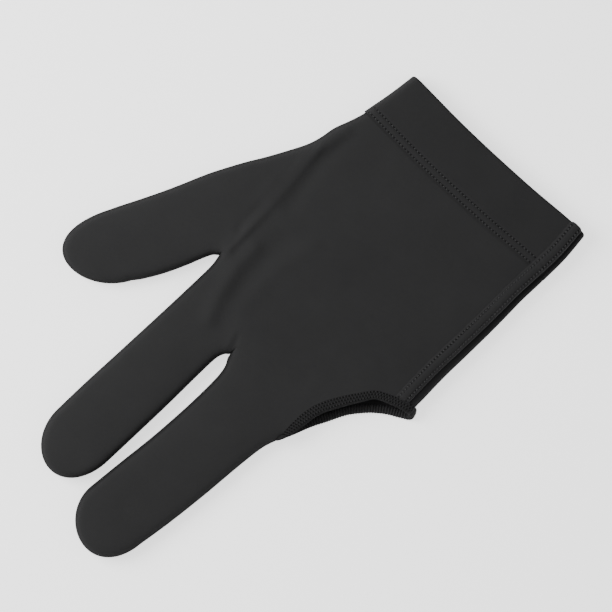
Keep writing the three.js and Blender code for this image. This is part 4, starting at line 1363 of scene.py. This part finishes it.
class GLOVE_OT_edging(bpy.types.Operator):
    """Makes the ribbed ring that finishes the hole for the ring and little fingers"""

    bl_idname = "glove.edging"
    bl_label = "Opening edging"

    # Painted shade: share of the edging's colour where its surface faces sideways or down, and where
    # it faces up.
    facing_shades = (0.5, 1.05)

    def execute(self, context):
        pattern = pattern_of(context)
        ring, ends = edging_stations(pattern)
        angle = round_angles(32)
        points, facing = edging_section(ring, angle)
        width, run = ring["width"][:, None], ring["run"][:, None]
        on_back = (run < run[ends[0] - 1]) & (np.sin(angle) > 0.1)
        painted_light = mix(*self.facing_shades, smooth(np.clip(facing[..., 2], 0, 1)))
        values = {"run": (run / MM + 0 * painted_light).ravel(), "painted_light": painted_light.ravel()}
        for name, share in EDGE_ROWS.items():
            away = (squarish(np.cos(angle)) - share) * width / 2
            values[name] = np.where(on_back, away, FAR).ravel() / MM
        stitching = context.scene.glove_stitching
        material = edging_material("overlocked_edge", context.scene.glove_colours.edging,
                                   tuple(EDGE_ROWS), stitching.edge_pitch)
        piece = make_piece("opening_edge", points.reshape(-1, 3), tube_grid(points, True),
                           material, values)
        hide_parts("opening_edging")
        return {"FINISHED"}


class GLOVE_OT_stitches(bpy.types.Operator):
    """Sews the double rows on the hem, on the side seam and on the opening's edging"""

    bl_idname = "glove.stitches"
    bl_label = "Stitch rows"

    def execute(self, context):
        pattern = pattern_of(context)
        stitching = context.scene.glove_stitching
        colours = context.scene.glove_colours
        sewing = thread_material("sewing_thread", colours.thread)
        edge = thread_material("edge_thread", colours.edge_thread)
        made = [("hem_stitches", self.hem_rows(pattern, stitching), sewing, "seam_band"),
                ("side_stitches", self.side_rows(pattern, stitching), sewing, "seam_band"),
                ("edge_stitches", self.edge_rows(pattern, stitching), edge, "edging")]
        for name, (points, faces), thread, slot in made:
            piece = make_piece(name, points, faces, thread)
        return {"FINISHED"}

    @staticmethod
    def hem_rows(pattern, stitching):
        """Two rows round the hem's inner end, on its upper and lower faces.

        On top they start beside the side band, and below the thread is sunk into the cloth.
        """
        share, thickness, lift = STITCH["hem"]
        beside_band, sunk = pattern.sizes.band_width * 1.46, -stitching.thread * 0.3
        faces = ((pattern.cuff_top, 1, beside_band, 1.2 * MM, lift),
                 (pattern.cuff_under, -1, 2.6 * MM, 2.6 * MM, sunk))
        parts = []
        for row in pattern.rows:
            along = 1 - row / pattern.sizes.cuff_depth
            left, right = pattern.cuff_x("fold", along), pattern.cuff_x("thumb", along)
            for height, up, first, last, off_cloth in faces:
                x = np.linspace(left + first, right - last, 300)
                y = pattern.hem_y(x) - row
                z = height(x, y, np.minimum(x - left, right - x))
                path = np.column_stack([x, y, z])
                normal = np.column_stack([-np.gradient(z, x), 0 * x, 1 + 0 * x]) * up
                parts.append(stitches_on(path, normal, pattern.hem_run(x), stitching.pitch, share,
                                         stitching.thread * thickness, off_cloth))
        return gathered(parts)

    @staticmethod
    def side_rows(pattern, stitching):
        """Two rows in the grooves of the side band."""
        share, thickness, lift = STITCH["side"]
        parts = []
        for across in BAND_ROWS:
            plan, base = band_surface(pattern, np.array([across]), 400)
            height = read_table(BAND_PROFILE, "across", "height", across)
            z = base[:, 0] + height * pattern.sizes.band_thickness
            path = np.column_stack([plan[:, 0], z])[3:-3]
            run = run_along(plan[:, 0])[3:-3]
            up = np.tile([0.0, 0.0, 1.0], (len(path), 1))
            parts.append(stitches_on(path, up, run, stitching.band_pitch, share,
                                     stitching.thread * thickness, lift))
        return gathered(parts)

    @staticmethod
    def edge_rows(pattern, stitching):
        """Three rows along the edging's upper arm, short of both its ends.

        They lie on the section: its rise at a share across is squarish(sin a), with a the angle
        whose squarish(cos a) is that share.
        """
        ring, ends = edging_stations(pattern)
        from_corner, from_root = 4, 14
        upper = {key: value[from_corner:ends[0] - from_root] for key, value in ring.items()}
        share, thickness, lift = STITCH["edge"]
        parts = []
        for number, place in enumerate(EDGE_ROWS.values()):
            across = place * upper["width"] / 2
            run = upper["run"] + number * EDGE_STAGGER * stitching.edge_pitch
            rise = upper["half"] * squarish((1 - np.abs(place) ** (2 / SQUARENESS)) ** 0.5)
            path = (upper["place"] + upper["side"] * across[:, None]
                    + upper["out"] * rise[:, None])
            parts.append(stitches_on(path, upper["out"], run, stitching.edge_pitch, share,
                                     stitching.thread * thickness, lift))
        return gathered(parts)


class GLOVE_OT_overlock(bpy.types.Operator):
    """Lays the overlock loops across the edging's lower arm and round its ends"""

    bl_idname = "glove.overlock"
    bl_label = "Overlock loops"

    def execute(self, context):
        # A loop goes right round the edging's section, slants by the sine of the angle and is a
        # flat tube of four sides. The first few grow in.
        pattern = pattern_of(context)
        stitching = context.scene.glove_stitching
        ring, ends = edging_stations(pattern)
        into_arm, into_turn, grown_after = 10, 12, 14
        first, last = ring["run"][ends[1] + into_arm], ring["run"][ends[2] + into_turn]
        count = int((last - first) / stitching.loop_pitch)
        at = np.linspace(first, last, count, endpoint=False)
        loops = {key: interpolated(value, ring["run"], at) for key, value in ring.items()}
        angle = round_angles(18)
        line, normal = edging_section(loops, angle)
        slant = np.sin(angle) * stitching.loop_pitch * 0.25
        line = line + loops["heading"][:, None] * slant[:, None]
        tangent = unit(np.roll(line, -1, 1) - np.roll(line, 1, 1))
        binormal = unit(np.cross(tangent, normal))
        turn = round_angles(4)
        growth = np.clip((np.arange(count) + 1) / grown_after, 0, 1)[:, None, None, None]
        rise = stitching.thread * 0.55 * np.cos(turn)[:, None] * growth
        spread = stitching.loop_pitch * 0.42 * np.sin(turn)[:, None] * growth
        points = line[:, :, None] + normal[:, :, None] * rise + binormal[:, :, None] * spread
        size = len(angle) * len(turn)
        faces = repeated(tube_grid(points[0], True).tolist(), size, count)
        thread = thread_material("overlock_thread", context.scene.glove_colours.edge_thread)
        piece = make_piece("overlock_loops", points.reshape(-1, 3), faces, thread)
        return {"FINISHED"}


class GLOVE_OT_stage(bpy.types.Operator):
    """Sets the pale floor, the soft lights and the camera straight above the glove"""

    bl_idname = "glove.stage"
    bl_label = "Stage"

    def execute(self, context):
        scene = context.scene
        self.floor(scene)
        self.lights(scene)
        self.camera(scene)
        return {"FINISHED"}

    @staticmethod
    def floor(scene):
        """A level square, a hair under the thread that shows on the palm side."""
        size, z = 3.0, -0.15 * MM
        mesh = bpy.data.meshes.new("floor")
        mesh.from_pydata([(-size, -size, z), (size, -size, z), (size, size, z), (-size, size, z)],
                         [], [(0, 1, 2, 3)])
        mesh.materials.append(floor_material(scene.glove_colours.floor))
        floor = bpy.data.objects.new("floor", mesh)
        scene.collection.objects.link(floor)

    @staticmethod
    def lights(scene):
        """A white surround, a broad key from the thumb side and a weaker fill opposite."""
        world = bpy.data.worlds.new("studio")
        world.use_nodes = True
        back = world.node_tree.nodes["Background"]
        back.inputs["Color"].default_value = (1.0, 1.0, 1.0, 1.0)
        back.inputs["Strength"].default_value = 0.45
        scene.world = world
        for name, place, size, power in (("key", (0.40, 0.22, 0.42), 0.40, 5.0),
                                         ("fill", (-0.65, -0.55, 0.9), 0.9, 1.5)):
            data = bpy.data.lights.new(name, "AREA")
            data.size = size
            data.energy = power
            light = bpy.data.objects.new(name, data)
            light.location = place
            light.rotation_mode = "QUATERNION"
            light.rotation_quaternion = (-Vector(place)).to_track_quat("-Z", "Y")
            scene.collection.objects.link(light)

    @staticmethod
    def camera(scene):
        """Straight down, turned so that the fingers point down and to the left."""
        centre, height, view_width, glove_top = (-10.36 * MM, -12.35 * MM), 1.0, 230.1 * MM, 6 * MM
        data = bpy.data.cameras.new("camera")
        data.sensor_width = 36.0
        data.lens = data.sensor_width * (height - glove_top) / view_width
        data.clip_start, data.clip_end = 0.01, 10.0
        camera = bpy.data.objects.new("camera", data)
        up = Vector((0.766, -0.643, 0.0)).normalized()
        right = Vector((up.y, -up.x, 0.0))
        turn = Matrix((right, up, right.cross(up))).transposed()
        camera.matrix_world = Matrix.Translation((*centre, height)) @ turn.to_4x4()
        scene.collection.objects.link(camera)
        scene.camera = camera


class GLOVE_PT_panel(bpy.types.Panel):
    """Lists the glove's sizes, colours and pieces"""

    bl_idname = "GLOVE_PT_panel"
    bl_label = "Billiard glove"
    bl_space_type = "VIEW_3D"
    bl_region_type = "UI"
    bl_category = "Glove"

    def draw(self, context):
        scene = context.scene
        for group in (scene.glove_sizes, scene.glove_stitching, scene.glove_colours):
            box = self.layout.box()
            for key in group.__annotations__:
                box.prop(group, key)
        for operator in OPERATORS:
            self.layout.operator(operator.bl_idname)


GROUPS = {"glove_sizes": GloveSizes, "glove_stitching": GloveStitching,
          "glove_colours": GloveColours}
OPERATORS = (GLOVE_OT_upper_panel, GLOVE_OT_lower_panel, GLOVE_OT_wrist_cuff, GLOVE_OT_side_band,
             GLOVE_OT_edging, GLOVE_OT_stitches, GLOVE_OT_overlock, GLOVE_OT_stage)


def register():
    """Adds the classes and gives the scene its groups of sizes and colours."""
    for group in GROUPS.values():
        bpy.utils.register_class(group)
    for operator in OPERATORS:
        bpy.utils.register_class(operator)
    bpy.utils.register_class(GLOVE_PT_panel)
    for name, group in GROUPS.items():
        setattr(bpy.types.Scene, name, bpy.props.PointerProperty(type=group))


def unregister():
    """Takes the groups and the classes away again."""
    for name in GROUPS:
        delattr(bpy.types.Scene, name)
    bpy.utils.unregister_class(GLOVE_PT_panel)
    for operator in reversed(OPERATORS):
        bpy.utils.unregister_class(operator)
    for group in reversed(list(GROUPS.values())):
        bpy.utils.unregister_class(group)


def main():
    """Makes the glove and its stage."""
    register()
    bpy.ops.glove.upper_panel()
    bpy.ops.glove.lower_panel()
    bpy.ops.glove.wrist_cuff()
    bpy.ops.glove.side_band()
    bpy.ops.glove.edging()
    bpy.ops.glove.stitches()
    bpy.ops.glove.overlock()
    bpy.ops.glove.stage()


if __name__ == "__main__":
    main()
